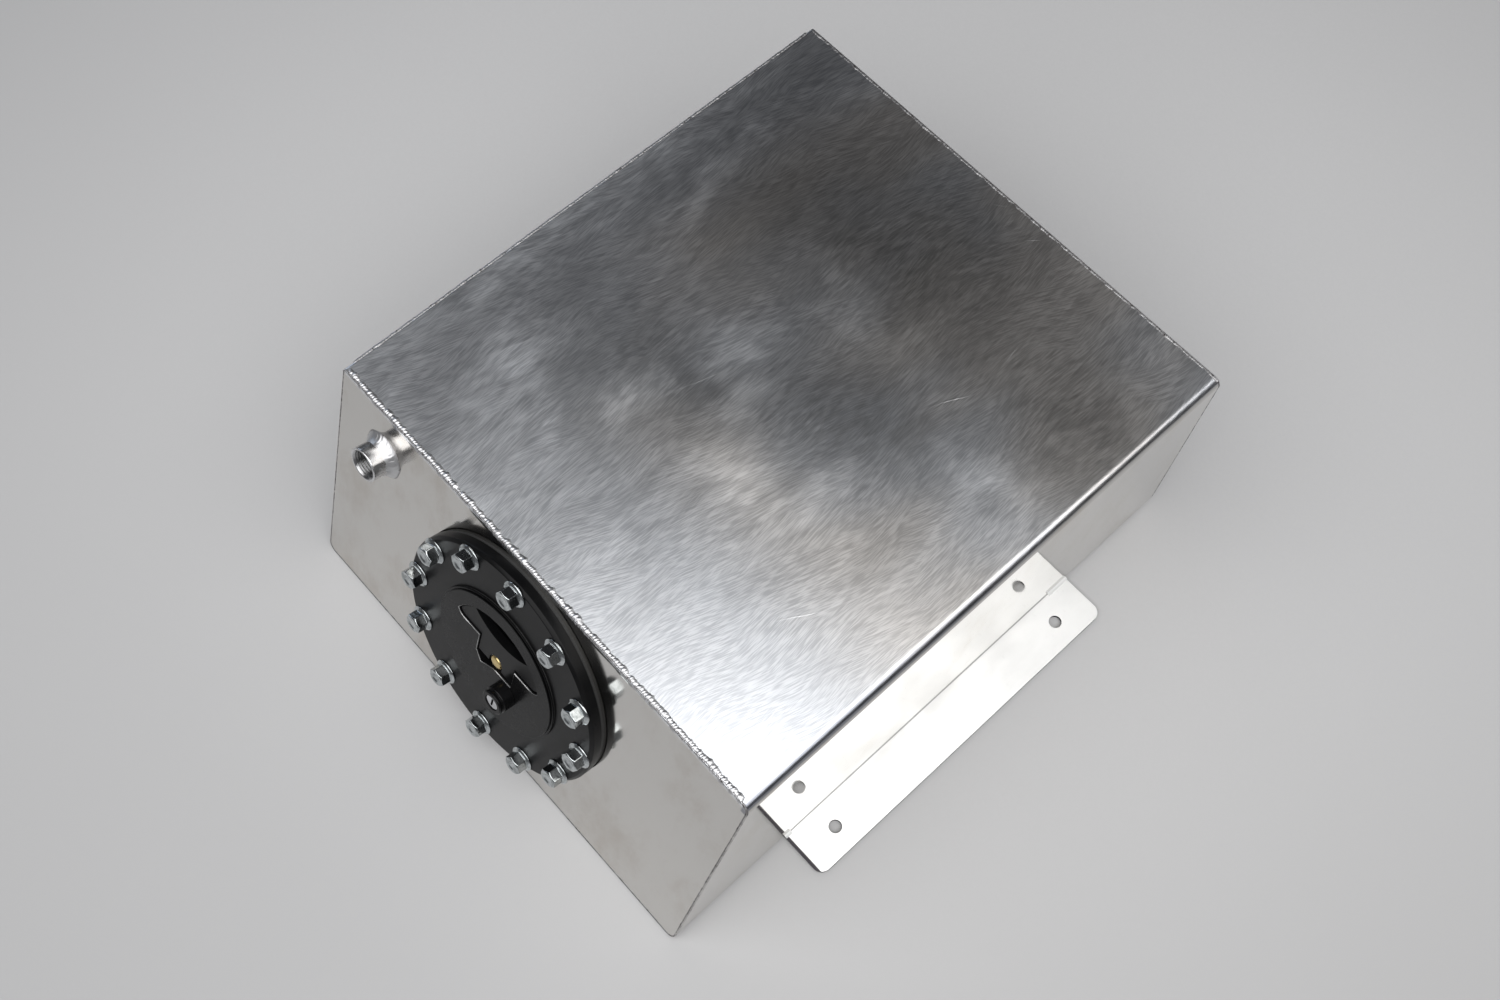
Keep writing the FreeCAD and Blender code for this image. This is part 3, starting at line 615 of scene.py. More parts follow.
@dataclass(frozen=True)
class FlangeFinish(Finish):
    """The flange's pale satin sheet.

    Heights and places are in metres: below cut_height a face is a cut one, and front_end is the front edge's Y.
    """

    pale: Color = (0.95, 0.95, 0.94)
    grey: Color = (0.88, 0.88, 0.87)
    # painted shade: the dark colour of the cut faces, the front strip and the joint line
    edge: Color = (0.045, 0.04, 0.048)
    metal: float = 1.0
    cut_height: float = 0.00199
    front_end: float = -0.1005
    # painted shade: how dark the line along the joint with the wall is, and where it lies
    joint: float = 0.5
    joint_shadow_band: Band = (0.14045, 0.1402)
    name: str = "flange_aluminium"

    def paint(self, graph: Graph) -> None:
        """Fills the material's tree."""
        patches = graph.smooth(graph.noise((60, 30, 60), 4.0, 0.6), 0.35, 0.7)
        grain = graph.noise((1800, 60, 1800), 3.0)
        spots = graph.smooth(graph.noise(420), 0.66, 0.74)
        color = graph.mix(patches * 0.6 + spots * 0.3, self.pale, self.grey)
        # painted shade: a dark line at the wall joint, dark cut faces and hole walls, a dark strip along the front
        # edge
        joint = graph.smooth(graph.math("ABSOLUTE", graph.coordinate(Axis.X)), *self.joint_shadow_band)
        foot = graph.smooth(graph.coordinate(Axis.Z), self.cut_height, self.cut_height - 0.0002)
        front = graph.smooth(graph.coordinate(Axis.Y), self.front_end + 0.0017, self.front_end + 0.0013)
        cut = graph.math("MAXIMUM", foot, front)
        color = graph.mix(graph.math("MAXIMUM", joint * self.joint, cut * 0.98), color, self.edge)
        roughness = 0.46 + patches * 0.08 + (grain - 0.5) * 0.1
        graph.surface(
            Base_Color=color, Metallic=self.metal, Roughness=roughness, Normal=graph.bump(grain, 0.000012))


@dataclass(frozen=True)
class WeldFinish(Finish):
    """Clean weld metal, dark where the bead meets the sheet: partly soot, partly painted shade."""

    name: str = "weld_aluminium"
    bright: Color = (0.6, 0.6, 0.61)
    dirt_and_shade: Color = (0.13, 0.12, 0.12)

    def paint(self, graph: Graph) -> None:
        """Fills the material's tree."""
        patches = graph.noise(220, 3.0, 0.6)
        # the mark darkens the weld: soot at the toe, and painted shade on the bead's flanks and front underside
        dirt_and_shade_share = graph.smooth(graph.mark("dirt_and_shade"), 0.45, 0.95)
        pits = graph.smooth(graph.noise(520), 0.66 - dirt_and_shade_share * 0.1, 0.74 - dirt_and_shade_share * 0.1)
        dark = graph.math("MINIMUM", dirt_and_shade_share * (0.35 + patches * 0.7) + pits * (0.4 + dirt_and_shade_share * 0.6), 1.0)
        roughness = 0.28 + patches * 0.2 + dark * 0.2
        graph.surface(
            Base_Color=graph.mix(dark, self.bright, self.dirt_and_shade), Metallic=1.0, Roughness=roughness,
            Normal=graph.bump(patches, 0.00006),
        )


@dataclass(frozen=True)
class TurnedFinish(Finish):
    """A metal that was turned on a lathe: fine rings round an axis."""

    place: Place
    color: Color
    shade: Color
    roughness: float = 0.22
    rings: float = 5200.0
    depth: float = 0.000008

    def paint(self, graph: Graph) -> None:
        """Fills the material's tree."""
        along, away = graph.turned(self.place)
        line = graph.node("ShaderNodeCombineXYZ", inputs={0: along * self.rings, 1: away * self.rings, 2: 0.0})
        rings = graph.noise(line)
        stain = graph.smooth(graph.noise(300, 3.0), 0.45, 0.72)
        color = graph.mix(stain * 0.5 + (rings - 0.5) * 0.3, self.color, self.shade)
        # painted shade: the marked bore of a bung darkens deeper into the hole
        color = graph.mix(graph.mark("dirt_and_shade") * 0.8, color, tuple(c * 0.3 for c in self.shade))
        roughness = self.roughness + stain * 0.1 + (rings - 0.5) * 0.12
        graph.surface(Base_Color=color, Metallic=1.0, Roughness=roughness, Normal=graph.bump(rings, self.depth))


@dataclass(frozen=True)
class AnodisedFinish(Finish):
    """Satin black anodising with a very fine grain, a little paler where it was handled.

    rim gives the lower and upper height and the greatest radius, in millimetres, of a bevel worn to bare metal.
    """

    black: Color = (0.003, 0.003, 0.0034)
    worn: Color = (0.008, 0.008, 0.008)
    roughness: float = 0.29
    bare: Color = (0.75, 0.75, 0.75)
    rim: Triple | None = None

    def paint(self, graph: Graph) -> None:
        """Fills the material's tree."""
        grain = graph.noise(2600)
        cloud = graph.smooth(graph.noise(70, 4.0, 0.6), 0.4, 0.75)
        color = graph.mix(cloud * 0.5 + grain * 0.3, self.black, self.worn)
        roughness = self.roughness + cloud * 0.07 + (grain - 0.5) * 0.1
        metal: Number = 0.0
        if self.rim:
            low, high, reach = (limit * MM for limit in self.rim)
            along, away = graph.turned(FILLER)
            metal = graph.smooth(along, low, low + 0.00002) * graph.smooth(along, high, high - 0.00002)
            rubbed = graph.smooth(graph.noise(75, 1.0), 0.4, 0.6)
            metal = metal * graph.smooth(away, reach, reach - 0.0001) * (0.12 + rubbed * 0.5)
            color = graph.mix(metal, color, self.bare)
        graph.surface(
            Base_Color=color, Metallic=metal, Roughness=roughness, IOR=1.24, Normal=graph.bump(grain, 0.00001))


@dataclass(frozen=True)
class PlatedFinish(Finish):
    """Bright plating on steel: cloudy, with small dull specks and a faint colour."""

    bright: Color
    dull: Color
    roughness: float
    specks: float = 0.3
    wobble: float = 0.00001

    def paint(self, graph: Graph) -> None:
        """Fills the material's tree."""
        cloud = graph.smooth(graph.noise(340, 4.0, 0.65), 0.38, 0.7)
        speck = graph.smooth(graph.noise(1900, 1.0), 0.62, 0.72)
        color = graph.mix(cloud * 0.7 + speck * self.specks, self.bright, self.dull)
        roughness = self.roughness + cloud * 0.1 + speck * 0.12
        bump = graph.bump(graph.noise(700), self.wobble)
        graph.surface(Base_Color=color, Metallic=1.0, Roughness=roughness, Normal=bump)


@dataclass(frozen=True)
class SoftFinish(Finish):
    """A matt soft material: rubber or foam."""

    color: Color
    shade: Color
    roughness: float
    cell: float
    depth: float

    def paint(self, graph: Graph) -> None:
        """Fills the material's tree."""
        inputs = {"Vector": graph.point(), "Scale": 1.0 / self.cell}
        cells = graph.node("ShaderNodeTexVoronoi", {}, inputs, "Distance")
        grain = graph.noise(3.0 / self.cell, 3.0)
        share = graph.smooth(cells + (grain - 0.5) * 0.4, 0.15, 0.7)
        graph.surface(
            Base_Color=graph.mix(share, self.color, self.shade), Roughness=self.roughness + grain * 0.1,
            Normal=graph.bump(share, self.depth),
        )


@dataclass(frozen=True)
class FloorFinish(Finish):
    """The pale floor: faintly mottled, with a painted pool of light round its centre. The bands are in metres from
    there.
    """

    name: str = "pale_floor"
    near: Color = (0.555, 0.553, 0.556)
    painted_falloff_share: float = 0.66
    painted_far_shade: Color = (0.13, 0.13, 0.135)
    mottle: Color = (0.44, 0.44, 0.445)
    centre: Triple = (-0.15, 0.28, 0.0)
    painted_falloff_band: Band = (0.18, 0.95)
    painted_far_shade_band: Band = (0.95, 1.5)

    def paint(self, graph: Graph) -> None:
        """Fills the material's tree."""
        reach = graph.vector("LENGTH", graph.vector("SUBTRACT", graph.point(), self.centre), output="Value")
        # painted light: a pool of light round the centre, fading to painted shade far away
        far = tuple(c * self.painted_falloff_share for c in self.near)
        color = graph.mix(graph.smooth(reach, *self.painted_falloff_band), self.near, far)
        color = graph.mix(graph.smooth(reach, *self.painted_far_shade_band), color, self.painted_far_shade)
        mottle, patch = graph.noise(500, 3.0, 0.7), graph.noise(5)
        color = graph.mix((mottle - 0.5) * 0.3 + (patch - 0.5) * 0.12 + 0.1, color, self.mottle)
        graph.surface(Base_Color=color, Roughness=0.75, IOR=1.3)


def built(finish: Finish) -> Material:
    """A field that holds the finish's material and builds it with the others."""
    return field(default_factory=finish.material)


@dataclass
class Finishes:
    """All the tank's finishes, each built once."""

    sheet: Material = built(SheetFinish())
    panel: Material = built(SheetFinish(
        name="panel_aluminium", wall_roughness=0.12, wall_smudge=(0.58, 0.55, 0.51)))
    flange: Material = built(FlangeFinish())
    flange_bead: Material = built(FlangeFinish(
        cut_height=-1.0, front_end=-1.0, joint=0.0, metal=0.3, name="flange_bead"))
    weld: Material = built(WeldFinish())
    vent: Material = built(TurnedFinish("turned_vent", VENT, (0.72, 0.72, 0.73), (0.5, 0.5, 0.5)))
    outlet: Material = built(TurnedFinish("turned_outlet", OUTLET, (0.72, 0.72, 0.73), (0.5, 0.5, 0.5)))
    ring: Material = built(TurnedFinish("turned_ring", FILLER, (0.86, 0.86, 0.87), (0.6, 0.6, 0.6)))
    brass: Material = built(TurnedFinish("brass", FILLER, (0.74, 0.58, 0.28), (0.5, 0.36, 0.15)))
    black: Material = built(AnodisedFinish("black_anodised"))
    black_cap: Material = built(AnodisedFinish("black_anodised_cap", roughness=0.27, rim=(9.72, 10.02, 34.0)))
    black_gloss: Material = built(AnodisedFinish("black_anodised_gloss", roughness=0.16))
    zinc: Material = built(PlatedFinish(
        "zinc_steel", (0.58, 0.61, 0.62), (0.2, 0.22, 0.22), 0.09, wobble=0.00006))
    steel: Material = built(PlatedFinish("spring_steel", (0.55, 0.56, 0.58), (0.38, 0.38, 0.38), 0.28))
    chrome: Material = built(PlatedFinish("chrome", (0.66, 0.67, 0.69), (0.5, 0.51, 0.52), 0.08, 0.2, 0.00004))
    rubber: Material = built(SoftFinish(
        "rubber", (0.03, 0.03, 0.03), (0.018, 0.018, 0.018), 0.55, 0.0006, 0.00003))
    foam: Material = built(SoftFinish("foam", (0.25, 0.18, 0.06), (0.85, 0.72, 0.3), 0.8, 0.0022, 0.0008))


# Welds


class Waver:
    """A smooth random line made of a few sine waves with seeded phases."""

    def __init__(self, seed: int, lengths: Sequence[float]) -> None:
        """Sets the waves' lengths, in millimetres."""
        dice = random.Random(seed)
        self.waves = [(length * dice.uniform(0.85, 1.15), dice.uniform(0, 2 * math.pi)) for length in lengths]

    def at(self, run: float) -> float:
        """The line's value, between about -1 and 1, this far along."""
        return sum(math.sin(2 * math.pi * run / length + phase) for length, phase in self.waves) / len(self.waves)


@dataclass(frozen=True)
class BeadStyle:
    """How a weld bead looks, in millimetres.

    Each ripple is a share of the radius deep and bends forward by a share of the radius over the crown. The bead
    wanders to the side, swells by a share of its radius, and has a number of sides round it and of steps to a ripple.
    The stain is the least darkness of its surface.
    """

    radius: float
    pitch: float
    ripple: float
    bend: float
    wander: float
    swell: float
    sides: int
    steps: int
    stain: float = 0.0


FAT = BeadStyle(2.12, 1.5, 0.14, 0.75, 0.35, 0.13, 20, 9)
SLIM = BeadStyle(1.24, 1.45, 0.12, 0.6, 0.15, 0.12, 12, 7, 0.7)
LOW = BeadStyle(0.72, 1.3, 0.14, 0.6, 0.05, 0.09, 10, 5, 0.95)


@dataclass(frozen=True)
class Route:
    """The line that a bead follows: its corner points and the way out of the corner at each of them."""

    points: list[Vector]
    outs: list[Vector]
    closed: bool

    def stations(self, step: float) -> Iterable[tuple[float, Vector, Vector, Vector]]:
        """Walks the route in even steps.

        Args:
            step: the length of one step, about.

        Returns:
            The run so far, the point, the way out and the way to the side at each station.
        """
        nodes = list(range(len(self.points))) + ([0] if self.closed else [])
        runs = [0.0]
        for before, after in zip(nodes, nodes[1:]):
            runs.append(runs[-1] + (self.points[after] - self.points[before]).length)
        count = max(2, round(runs[-1] / step))
        leg = 0
        for number in range(count if self.closed else count + 1):
            run = min(runs[-1] * number / count, runs[-1] - 1e-9)
            while runs[leg + 1] <= run:
                leg += 1
            before, after = nodes[leg], nodes[leg + 1]
            share = (run - runs[leg]) / (runs[leg + 1] - runs[leg])
            heading = (self.points[after] - self.points[before]).normalized()
            out = self.outs[before].lerp(self.outs[after], share)
            out = (out - heading * out.dot(heading)).normalized()
            yield run, self.points[before].lerp(self.points[after], share), out, heading.cross(out)

    def length(self) -> float:
        """The route's whole length."""
        ends = self.points[1:] + (self.points[:1] if self.closed else [])
        return sum((after - before).length for before, after in zip(self.points, ends))


def lay_bead(draft: Draft, route: Route, style: BeadStyle, seed: int) -> None:
    """Lays one rippled bead along a route.

    Args:
        draft: the mesh that it is added to.
        route: the line that it follows.
        style: its size and ripples.
        seed: for its own unevenness.
    """
    sway, swell, hurry = Waver(seed, (31, 13, 6.1)), Waver(seed + 1, (47, 17, 7.3)), Waver(seed + 2, (23, 9))
    lumps = [Waver(seed + 3 + k, (9.5, 4.7, 2.9)) for k in range(4)]
    rows: list[list[Vector]] = []
    marks: list[list[float]] = []
    total = route.length()
    for run, middle, out, side in route.stations(style.pitch / style.steps):
        size = style.radius * (1 + style.swell * swell.at(run))
        if not route.closed:
            near = min(run, total - run) / (1.3 * style.radius)
            size *= math.sqrt(max(1 - (1 - min(near, 1.0)) ** 2, 0.02))
        centre = middle + side * style.wander * sway.at(run)
        row, mark = [], []
        for corner, angle in enumerate(turns(style.sides)):
            lead = style.bend * style.radius * math.cos(angle)
            phase = (run + lead + 0.8 * hurry.at(run)) / style.pitch
            crest = (0.5 + 0.5 * math.cos(2 * math.pi * phase)) * (0.75 + 0.5 * swell.at(3 * run + 40))
            turn = angle / (0.5 * math.pi)
            lump = lumps[int(turn)].at(run) * (1 - turn % 1) + lumps[(int(turn) + 1) % 4].at(run) * (turn % 1)
            radius = min(size * (1 - style.ripple * (1 - crest) + 0.8 * style.ripple * lump), 1.2 * style.radius)
            row.append(centre + (out * math.cos(angle) + side * math.sin(angle)) * radius)
            # soot and painted shade: darker towards the bead's flanks, fully on the front underside, half on the
            # other side
            shade = min(1.0, abs(math.remainder(angle, 2 * math.pi)) / (0.5 * math.pi))
            mark.append(max(style.stain, shade * (1.0 if corner * 2 < style.sides else 0.5)))
        rows.append(row)
        marks.append(mark)
    first = draft.grid(rows, loop=route.closed, marks=marks)
    if not route.closed:
        draft.cap(first, len(rows), style.sides)


@dataclass(frozen=True)
class Welds:
    """The beads on the tank's edges, in millimetres."""

    hull: Hull
    fat_inset: float = 1.5
    fat_short: float = 2.5
    slim_inset: float = 1.0
    low_inset: float = 0.55
    seam_start: float = 5.0
    seam_end: float = 3.6

    def _outline(self, end: End) -> Route:
        """The line round an end panel."""
        points, outs = [], []
        place = self.hull.place(end, 0, 0)
        section = self.hull.section(self.low_inset, 8, 20.0)
        for number, (x, z) in enumerate(section):
            before, after = section[number - 1], section[(number + 1) % len(section)]
            heading = Vector((after[0] - before[0], 0, after[1] - before[1])).normalized()
            points.append(Vector((x, self.hull.wall_y(end, z, self.low_inset), z)))
            outs.append((Vector((-heading.z, 0, heading.x)) + place.out).normalized())
        return Route(points, outs, True)

    def _straight(self, start: Triple, end: Triple, out: Triple) -> Route:
        """A straight line between two points."""
        return Route([Vector(start), Vector(end)], [Vector(out).normalized()] * 2, False)

    def build(self, finishes: Finishes) -> None:
        """Builds the three edge welds."""
        front, rear = (self.hull.wall_y(end, self.hull.height) for end in End)
        fat, slim = self.fat_inset, self.slim_inset
        fat_z, fat_half = self.hull.height - fat, self.hull.width / 2 - fat
        z, half = self.hull.height - slim, self.hull.width / 2 - slim
        front_line = self._straight(
            (-fat_half, front + fat, fat_z), (fat_half - self.fat_short, front + fat, fat_z), (0, -0.8, 1))
        rear_line = self._straight((-half, rear - slim, z), (half, rear - slim, z), (0, 1, 1))
        seam_line = self._straight(
            (-half, front + self.seam_start, z), (-half, rear - self.seam_end, z), (-1, 0, 1))
        for name, beads in (
            ("front", ((front_line, FAT, 11), (self._outline(End.FRONT), LOW, 21))),
            ("rear", ((rear_line, SLIM, 31), (self._outline(End.REAR), LOW, 41))),
            ("seam", ((seam_line, SLIM, 51),)),
        ):
            draft = Draft()
            for route, style, seed in beads:
                lay_bead(draft, route, style, seed)
            dress(draft.piece(name + "_bead"), finishes.weld, "tank", "weld_aluminium", name + "_weld")


# Shell


@dataclass(frozen=True)
class Shell:
    """The folded wrap, its two end panels, the flanges and the foam, in millimetres."""

    hull: Hull
    arc_steps: int = 14
    spacing: float = 14.0
    shares: tuple[float, ...] = (0.0, 0.002, 0.1, 0.25, 0.4, 0.55, 0.7, 0.85, 0.998, 1.0)

    def _wrap(self) -> bpy.types.Object:
        """The one sheet that is folded round the tank."""
        draft = Draft()
        hull = self.hull
        outer, inner = (hull.section(inset, self.arc_steps, self.spacing) for inset in (0.0, hull.sheet))
        inner += inner[-1:] * (len(outer) - len(inner))
        for section in (outer, inner):
            ends = [[hull.wall_y(end, z, hull.sheet) for end in End] for _, z in section]
            draft.grid([
                [Vector((x, front + (rear - front) * share, z)) for (x, z), (front, rear) in zip(section, ends)]
                for share in self.shares])
        return draft.piece("folded_sheet")

    def build(self, finishes: Finishes) -> None:
        """Builds and dresses the shell."""
        dress(self._wrap(), finishes.sheet, "tank", "sheet_aluminium", "tank_wrap")
        repaint("front_panel", finishes.panel)
        repaint("rear_panel", finishes.sheet)
        for node in ("mount_flange_right", "mount_flange_left"):
            dress(softened(node, 0.25), finishes.flange, "tank", "flange_aluminium", node)
        for node in ("flange_weld_right", "flange_weld_left"):
            repaint(node, finishes.flange_bead)
        repaint("foam_block", finishes.foam)


# Ports


@dataclass(frozen=True)
class Port:
    """A threaded bung and the weld round its foot, in millimetres."""

    name: str
    place: Place
    radius: float = 9.0
    bore: float = 7.1
    stand: float = 12.0
    inside: float = 7.95
    chamfer: float = 0.9
    edge: float = 0.4
    thread_pitch: float = 1.411
    thread_depth: float = 0.62
    thread_steps: int = 9
    leg_up: float = 5.4
    leg_out: float = 3.9
    ripples: int = 26
    ripple_steps: int = 14
    across: int = 14
    around: int = 120

    def _ring(self, radius: Callable[[float], float], z: float) -> list[Vector]:
        """A ring of points whose radius may change round it."""
        return [self.place.around(radius(angle), angle, z) for angle in turns(self.around)]

    def _sleeve(self) -> bpy.types.Object:
        """The bung: outside turned smooth, bore threaded."""
        draft = Draft()
        mouth, edge, stand, radius = self.bore + self.chamfer, self.edge, self.stand, self.radius
        outside = [
            (self.bore + 0.3, -self.inside), (radius - 0.3, -self.inside), (radius, -self.inside + 0.3),
            (radius, 0.0), (radius, stand - edge - 0.25), (radius, stand - edge), (radius - 0.12, stand - 0.12),
            (radius - edge, stand), (mouth + 0.35, stand), (mouth + 0.12, stand), (mouth, stand - 0.08),
        ]
        rows = [self._ring(lambda a, r=r: r, z) for r, z in outside]
        marks = [[0.0] * self.around for _ in rows]
        count = int((stand - self.chamfer + self.inside) / self.thread_pitch * self.thread_steps)
        top, low = stand - 0.16, -self.inside + 0.2
        for step in range(count + 1):
            z = top + (low - top) * step / count
            room = mouth - max(0.0, stand - z)
            rows.append(self._ring(lambda a, z=z, room=room: self._thread(a, z, room), z))
            # painted shade: the bore gets darker deeper below the mouth
            marks.append([min(1.0, 0.3 + (stand - z) / 2.0)] * self.around)
        draft.grid(rows, loop=True, marks=marks)
        return draft.piece(self.name + "_bung_threaded")

    def _thread(self, angle: float, z: float, room: float) -> float:
        """The bore's radius at an angle and a height: a V thread, cut off by the mouth's chamfer."""
        phase = (z / self.thread_pitch + angle / (2 * math.pi)) % 1.0
        ridge = max(0.0, 1.0 - abs(phase - 0.5) * 2.6)
        return max(self.bore - self.thread_depth * min(1.0, ridge * 1.25), room)

    def _bead(self) -> bpy.types.Object:
        """The fillet weld with leaf-shaped ripples."""
        draft = Draft()
        swell = Waver(len(self.name), (21, 9))
        rows, marks = [], []
        for turn in turns(self.ripples * self.ripple_steps):
            row, mark = [], []
            size = 1 + 0.07 * swell.at(turn * 11)
            up, out = self.leg_up * size, self.leg_out * size
            for step in range(self.across + 1):
                share = step / self.across
                bow = math.sin(math.pi * share)
                phase = self.ripples * turn / (2 * math.pi) + 0.9 * bow + 0.25 * swell.at(turn * 30)
                crest = 0.5 + 0.5 * math.cos(2 * math.pi * phase)
                lift = bow * (0.24 * crest * share - 0.62)
                radius = self.radius - 0.15 + (out + 0.15) * share + lift * 0.8
                height = up * (1 - share) - 0.1 * share + lift * 0.55
                row.append(self.place.around(radius, turn, height))
                # darker towards the outer edge where the fillet meets the wall: weld soot and painted shade
                mark.append(share ** 3 * 0.9)
            for radius, height in ((self.radius + self.leg_out * 0.7, -0.6), (self.radius - 0.5, -0.6)):
                row.append(self.place.around(radius, turn, height))
                mark.append(1.0)
            rows.append(row)
            marks.append(mark)
        draft.grid(rows, loop=True, marks=marks)
        return draft.piece(self.name + "_bung_bead")

    def build(self, finish: Material, weld: Material) -> None:
        """Builds the bung and its weld."""
        dress(self._sleeve(), finish, "tank", "turned_aluminium", self.name + "_bung")
        dress(self._bead(), weld, "tank", "weld_aluminium", self.name + "_bung_weld")


# Filler


@dataclass(frozen=True)
class PlateBolts:
    """Twelve flanged hexagon bolts with dished heads, in millimetres."""

    place: Place
    circle: float = 60.325
    count: int = 12
    foot: float = 7.95
    flange: float = 6.9
    flange_height: float = 1.5
    neck: float = 5.9
    across_flats: float = 9.5
    head: float = 5.4
    dish: float = 2.9
    dish_depth: float = 0.7
    shank: float = 3.1
    tip: float = -8.175
    corner_angles: tuple[float, ...] = (0, 1.2, 3, 7, 14, 22, 30, 38, 46, 53, 57, 58.8)

    def _profile(self) -> list[tuple[float, float, bool]]:
        """Radius, height and whether the hexagon cuts the ring, from the tip to the dish's middle."""
        foot, top = self.foot, self.foot + self.flange_height + self.head
        crown, low = self.across_flats / 2, foot + self.flange_height
        flange, neck, dish, head = self.flange, self.neck, self.dish, self.head
        below = [
            (self.shank - 0.7, self.tip), (self.shank, self.tip + 0.7), (self.shank, foot), (flange - 0.15, foot),
            (flange, foot + 0.12), (flange, foot + 0.5), (flange - 0.1, foot + 0.68), (flange - 0.35, foot + 0.8),
            (neck, low - 0.12), (neck - 0.25, low - 0.02),
        ]
        sides = [(9.0, low + h) for h in (0.0, 0.12, 0.4, 2.4, head - 1.0, head - 0.62)]
        sides += [(crown - 0.31 + 1.5 * drop, low + head - drop) for drop in (0.5, 0.36, 0.22, 0.1, 0.03)]
        above = [
            (crown - 0.45, top), (dish + 0.35, top), (dish + 0.1, top - 0.03), (dish - 0.1, top - 0.14),
            (dish - 0.5, top - 0.42), (dish - 1.1, top - 0.62), (dish - 2.0, top - self.dish_depth),
        ]
        return [(*ring, ring in sides) for ring in below + sides + above]

    def _hexagon(self, degrees: float, limit: float) -> float:
        """The hexagon's reach in one direction, cut to a circle."""
        off = math.radians((degrees + 30.0) % 60.0 - 30.0)
        flat = self.across_flats / 2 / math.cos(math.radians(30.0) - abs(off))
        return min(flat, limit, self.across_flats / 2 / math.cos(math.radians(30)) - 0.08)

    def build(self, finish: Material) -> None:
        """Builds all the bolts as one piece."""
        draft = Draft()
        angles = [60.0 * side + a for side in range(6) for a in self.corner_angles]
        for turn in turns(self.count):
            x, y = self.circle * math.cos(turn), self.circle * math.sin(turn)
            spin = 7 * x + 3 * y
            rows = []
            for radius, z, cut in self._profile():
                row = []
                for degrees in angles:
                    reach = self._hexagon(degrees, radius) if cut else radius
                    angle = math.radians(degrees + spin)
                    row.append(self.place.at(x + reach * math.cos(angle), y + reach * math.sin(angle), z))
                rows.append(row)
            draft.cap(draft.grid(rows), len(rows), len(angles))
        dress(draft.piece("flanged_bolts"), finish, "tank", "zinc_steel", "plate_bolts")


@dataclass(frozen=True)
class Filler:
    """The filler plate with its neck, cap, lever and lock."""

    bolts: PlateBolts
    crown_radius: float = 3.6
    crown_foot: float = 8.6
    crown_rise: float = 0.85
    crown_rings: int = 8
    around: int = 40

    def _crown(self) -> bpy.types.Object:
        """The low dome on the stem's head."""
        draft = Draft()
        rows = []
        for ring in range(self.crown_rings + 1):
            lift = 0.48 * math.pi * ring / self.crown_rings
            radius, height = self.crown_radius * math.cos(lift), self.crown_foot + self.crown_rise * math.sin(lift)
            rows.append([self.bolts.place.around(radius, angle, height) for angle in turns(self.around)])
        draft.cap(draft.grid(rows), len(rows), self.around)
        return draft.piece("stem_crown")

    def build(self, finishes: Finishes) -> None:
        """Builds and dresses every piece of the filler."""
        self.bolts.build(finishes.zinc)
        for node, body, width, material in (
            ("filler_plate", "tank", 0.35, finishes.black), ("filler_neck", "tank", 0.2, finishes.black),
            ("cap_body", "cap", 0.12, finishes.black_cap), ("cap_lever", "lever", 0.5, finishes.black),
            ("lock_housing", "cap", 0.18, finishes.black_gloss),
        ):
            dress(softened(node, width), material, body, "black_anodised", node)
        dress(softened("lock_plug", 0.08), finishes.chrome, "lock", "chrome", "lock_plug")
        dress(softened("stem", 0.12), finishes.brass, "latch", "brass", "stem")
        dress(self._crown(), finishes.brass, "latch", "brass")
        for material, nodes in (
            (finishes.rubber, ("filler_gasket", "neck_gasket", "cap_seal")),
            (finishes.ring, ("nut_ring", "neck_nut", "latch_bar")),
            (finishes.zinc, ("latch_nut", "lock_cam")),
            (finishes.steel, ("latch_spring", "hinge_pin")),
        ):
            for node in nodes:
                repaint(node, material)


# Studio


@dataclass(frozen=True)
class Lamp:
    """A soft box: where its middle is, where it looks, its two sides in metres and its power in watts."""

    name: str
    at: Triple
    aim: Triple
    sides: tuple[float, float]
    power: float
    color: Color = WHITE
    spin: float = 0.0

    def build(self) -> None:
        """Hangs the soft box."""
        light = bpy.data.lights.new(self.name, "AREA")
        light.shape = "RECTANGLE"
        light.size, light.size_y = self.sides
        light.energy = self.power
        light.color = self.color
        made = bpy.data.objects.new(self.name, light)
        made.location = self.at
        aimed = (Vector(self.aim) - Vector(self.at)).to_track_quat("-Z", "Y")
        made.rotation_euler = (aimed @ Quaternion((0, 0, 1), math.radians(self.spin))).to_euler()
        bpy.context.scene.collection.objects.link(made)


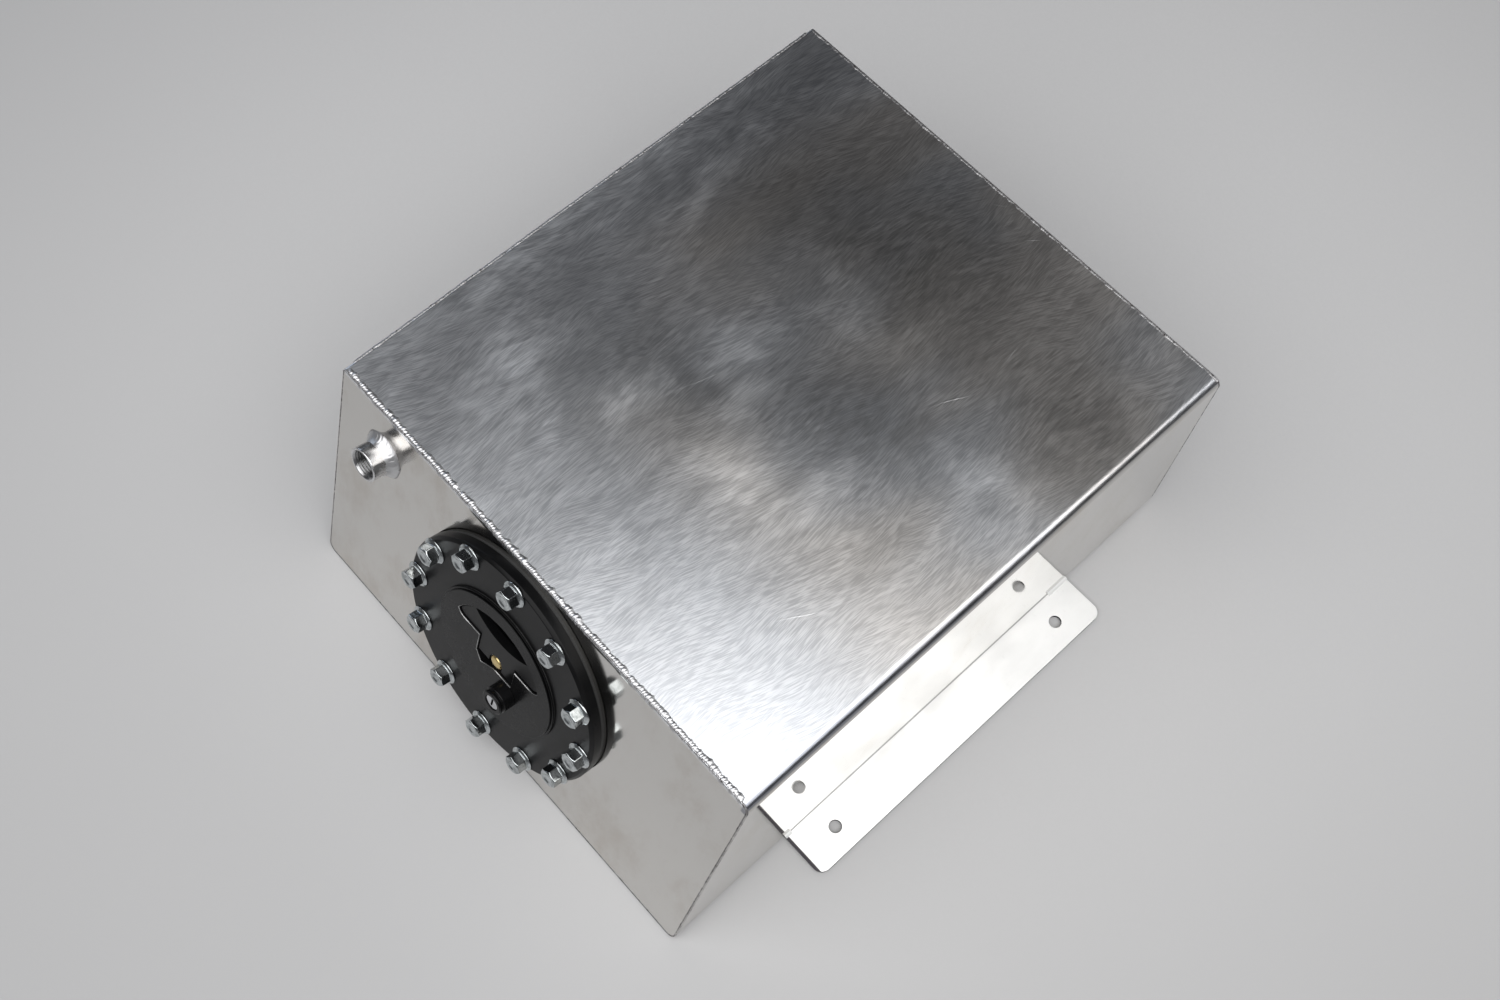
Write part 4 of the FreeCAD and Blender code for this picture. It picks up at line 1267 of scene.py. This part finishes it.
@dataclass(frozen=True)
class Studio:
    """The pale floor, the soft boxes and the camera."""

    floor_height: float = -0.0006
    radii: tuple[float, ...] = (150, 300, 500, 800, 1200, 1700, 2200, 2400, 2600, 2750, 2860, 2940, 3000)
    curve_start: float = 2200.0
    curve_height: float = 1400.0
    around: int = 96
    lamps: tuple[Lamp, ...] = (
        Lamp("overhead", (0.463, -0.916, 1.64), (0.463, -0.916, 0.0), (3.8, 2.5), 74.0, spin=43.8),
        Lamp("rear", (0.5, 2.6, 1.2), (0.0, 0.0, 0.1), (2.4, 2.0), 13.0),
        Lamp("left", (-2.5, 0.2, 0.9), (0.0, 0.0, 0.1), (1.8, 0.8), 6.0, (0.75, 0.85, 1.0)),
    )
    camera_at: Triple = (0.237882845, -0.229403378, 0.782938463)
    camera_right: Triple = (0.67496328, 0.73769838, 0.01502223)
    camera_down: Triple = (0.67965841, -0.61367644, -0.4018279)
    camera_forward: Triple = (-0.287209, 0.28142906, -0.91559198)
    lens: float = 37.41
    sensor: float = 36.0

    def _floor(self) -> None:
        """A flat floor that curves up far away."""
        draft = Draft()
        rows = []
        for radius in self.radii:
            rise = max(0.0, radius - self.curve_start) / (self.radii[-1] - self.curve_start)
            height = self.floor_height / MM + self.curve_height * (1 - math.sqrt(1 - rise * rise))
            rows.append([
                Vector((radius * math.cos(a), radius * math.sin(a), height)) for a in turns(self.around)])
        draft.close(draft.grid(rows), self.around)
        floor = draft.piece("floor")
        floor.data.materials.append(FloorFinish().material())

    def _world(self) -> None:
        """A dim room that the camera itself sees as pale."""
        world = bpy.data.worlds.new("room")
        world.use_nodes = True
        bpy.context.scene.world = world
        graph = Graph(world.node_tree)
        seen = graph.node("ShaderNodeLightPath", output="Is Camera Ray")
        color = graph.mix(seen, (0.03, 0.03, 0.032), (0.5, 0.5, 0.5))
        shader = graph.node("ShaderNodeBackground", {}, {"Color": color, "Strength": 1.0})
        graph.node("ShaderNodeOutputWorld", {}, {"Surface": shader})

    def _camera(self) -> None:
        """The camera, where the photograph was taken from."""
        data = bpy.data.cameras.new("camera")
        data.lens, data.sensor_width, data.sensor_fit = self.lens, self.sensor, "HORIZONTAL"
        made = bpy.data.objects.new("camera", data)
        axes = zip(self.camera_right, self.camera_down, self.camera_forward, self.camera_at)
        rows = [(right, -down, -forward, at) for right, down, forward, at in axes]
        made.matrix_world = Matrix((*rows, (0, 0, 0, 1)))
        bpy.context.scene.collection.objects.link(made)
        bpy.context.scene.camera = made

    def build(self) -> None:
        """Builds the whole studio."""
        bpy.context.scene.view_settings.view_transform = "Standard"
        self._camera()
        self._world()
        self._floor()
        for lamp in self.lamps:
            lamp.build()


def main() -> None:
    """Builds the dressed tank and its studio."""
    logging.basicConfig(level=logging.INFO, format="%(name)s: %(message)s")
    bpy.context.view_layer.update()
    Studio().build()
    finishes = Finishes()
    Shell(HULL).build(finishes)
    Welds(HULL).build(finishes)
    Port("vent", VENT).build(finishes.vent, finishes.weld)
    Port("outlet", OUTLET).build(finishes.outlet, finishes.weld)
    Filler(PlateBolts(FILLER)).build(finishes)


if __name__ == "__main__":
    main()
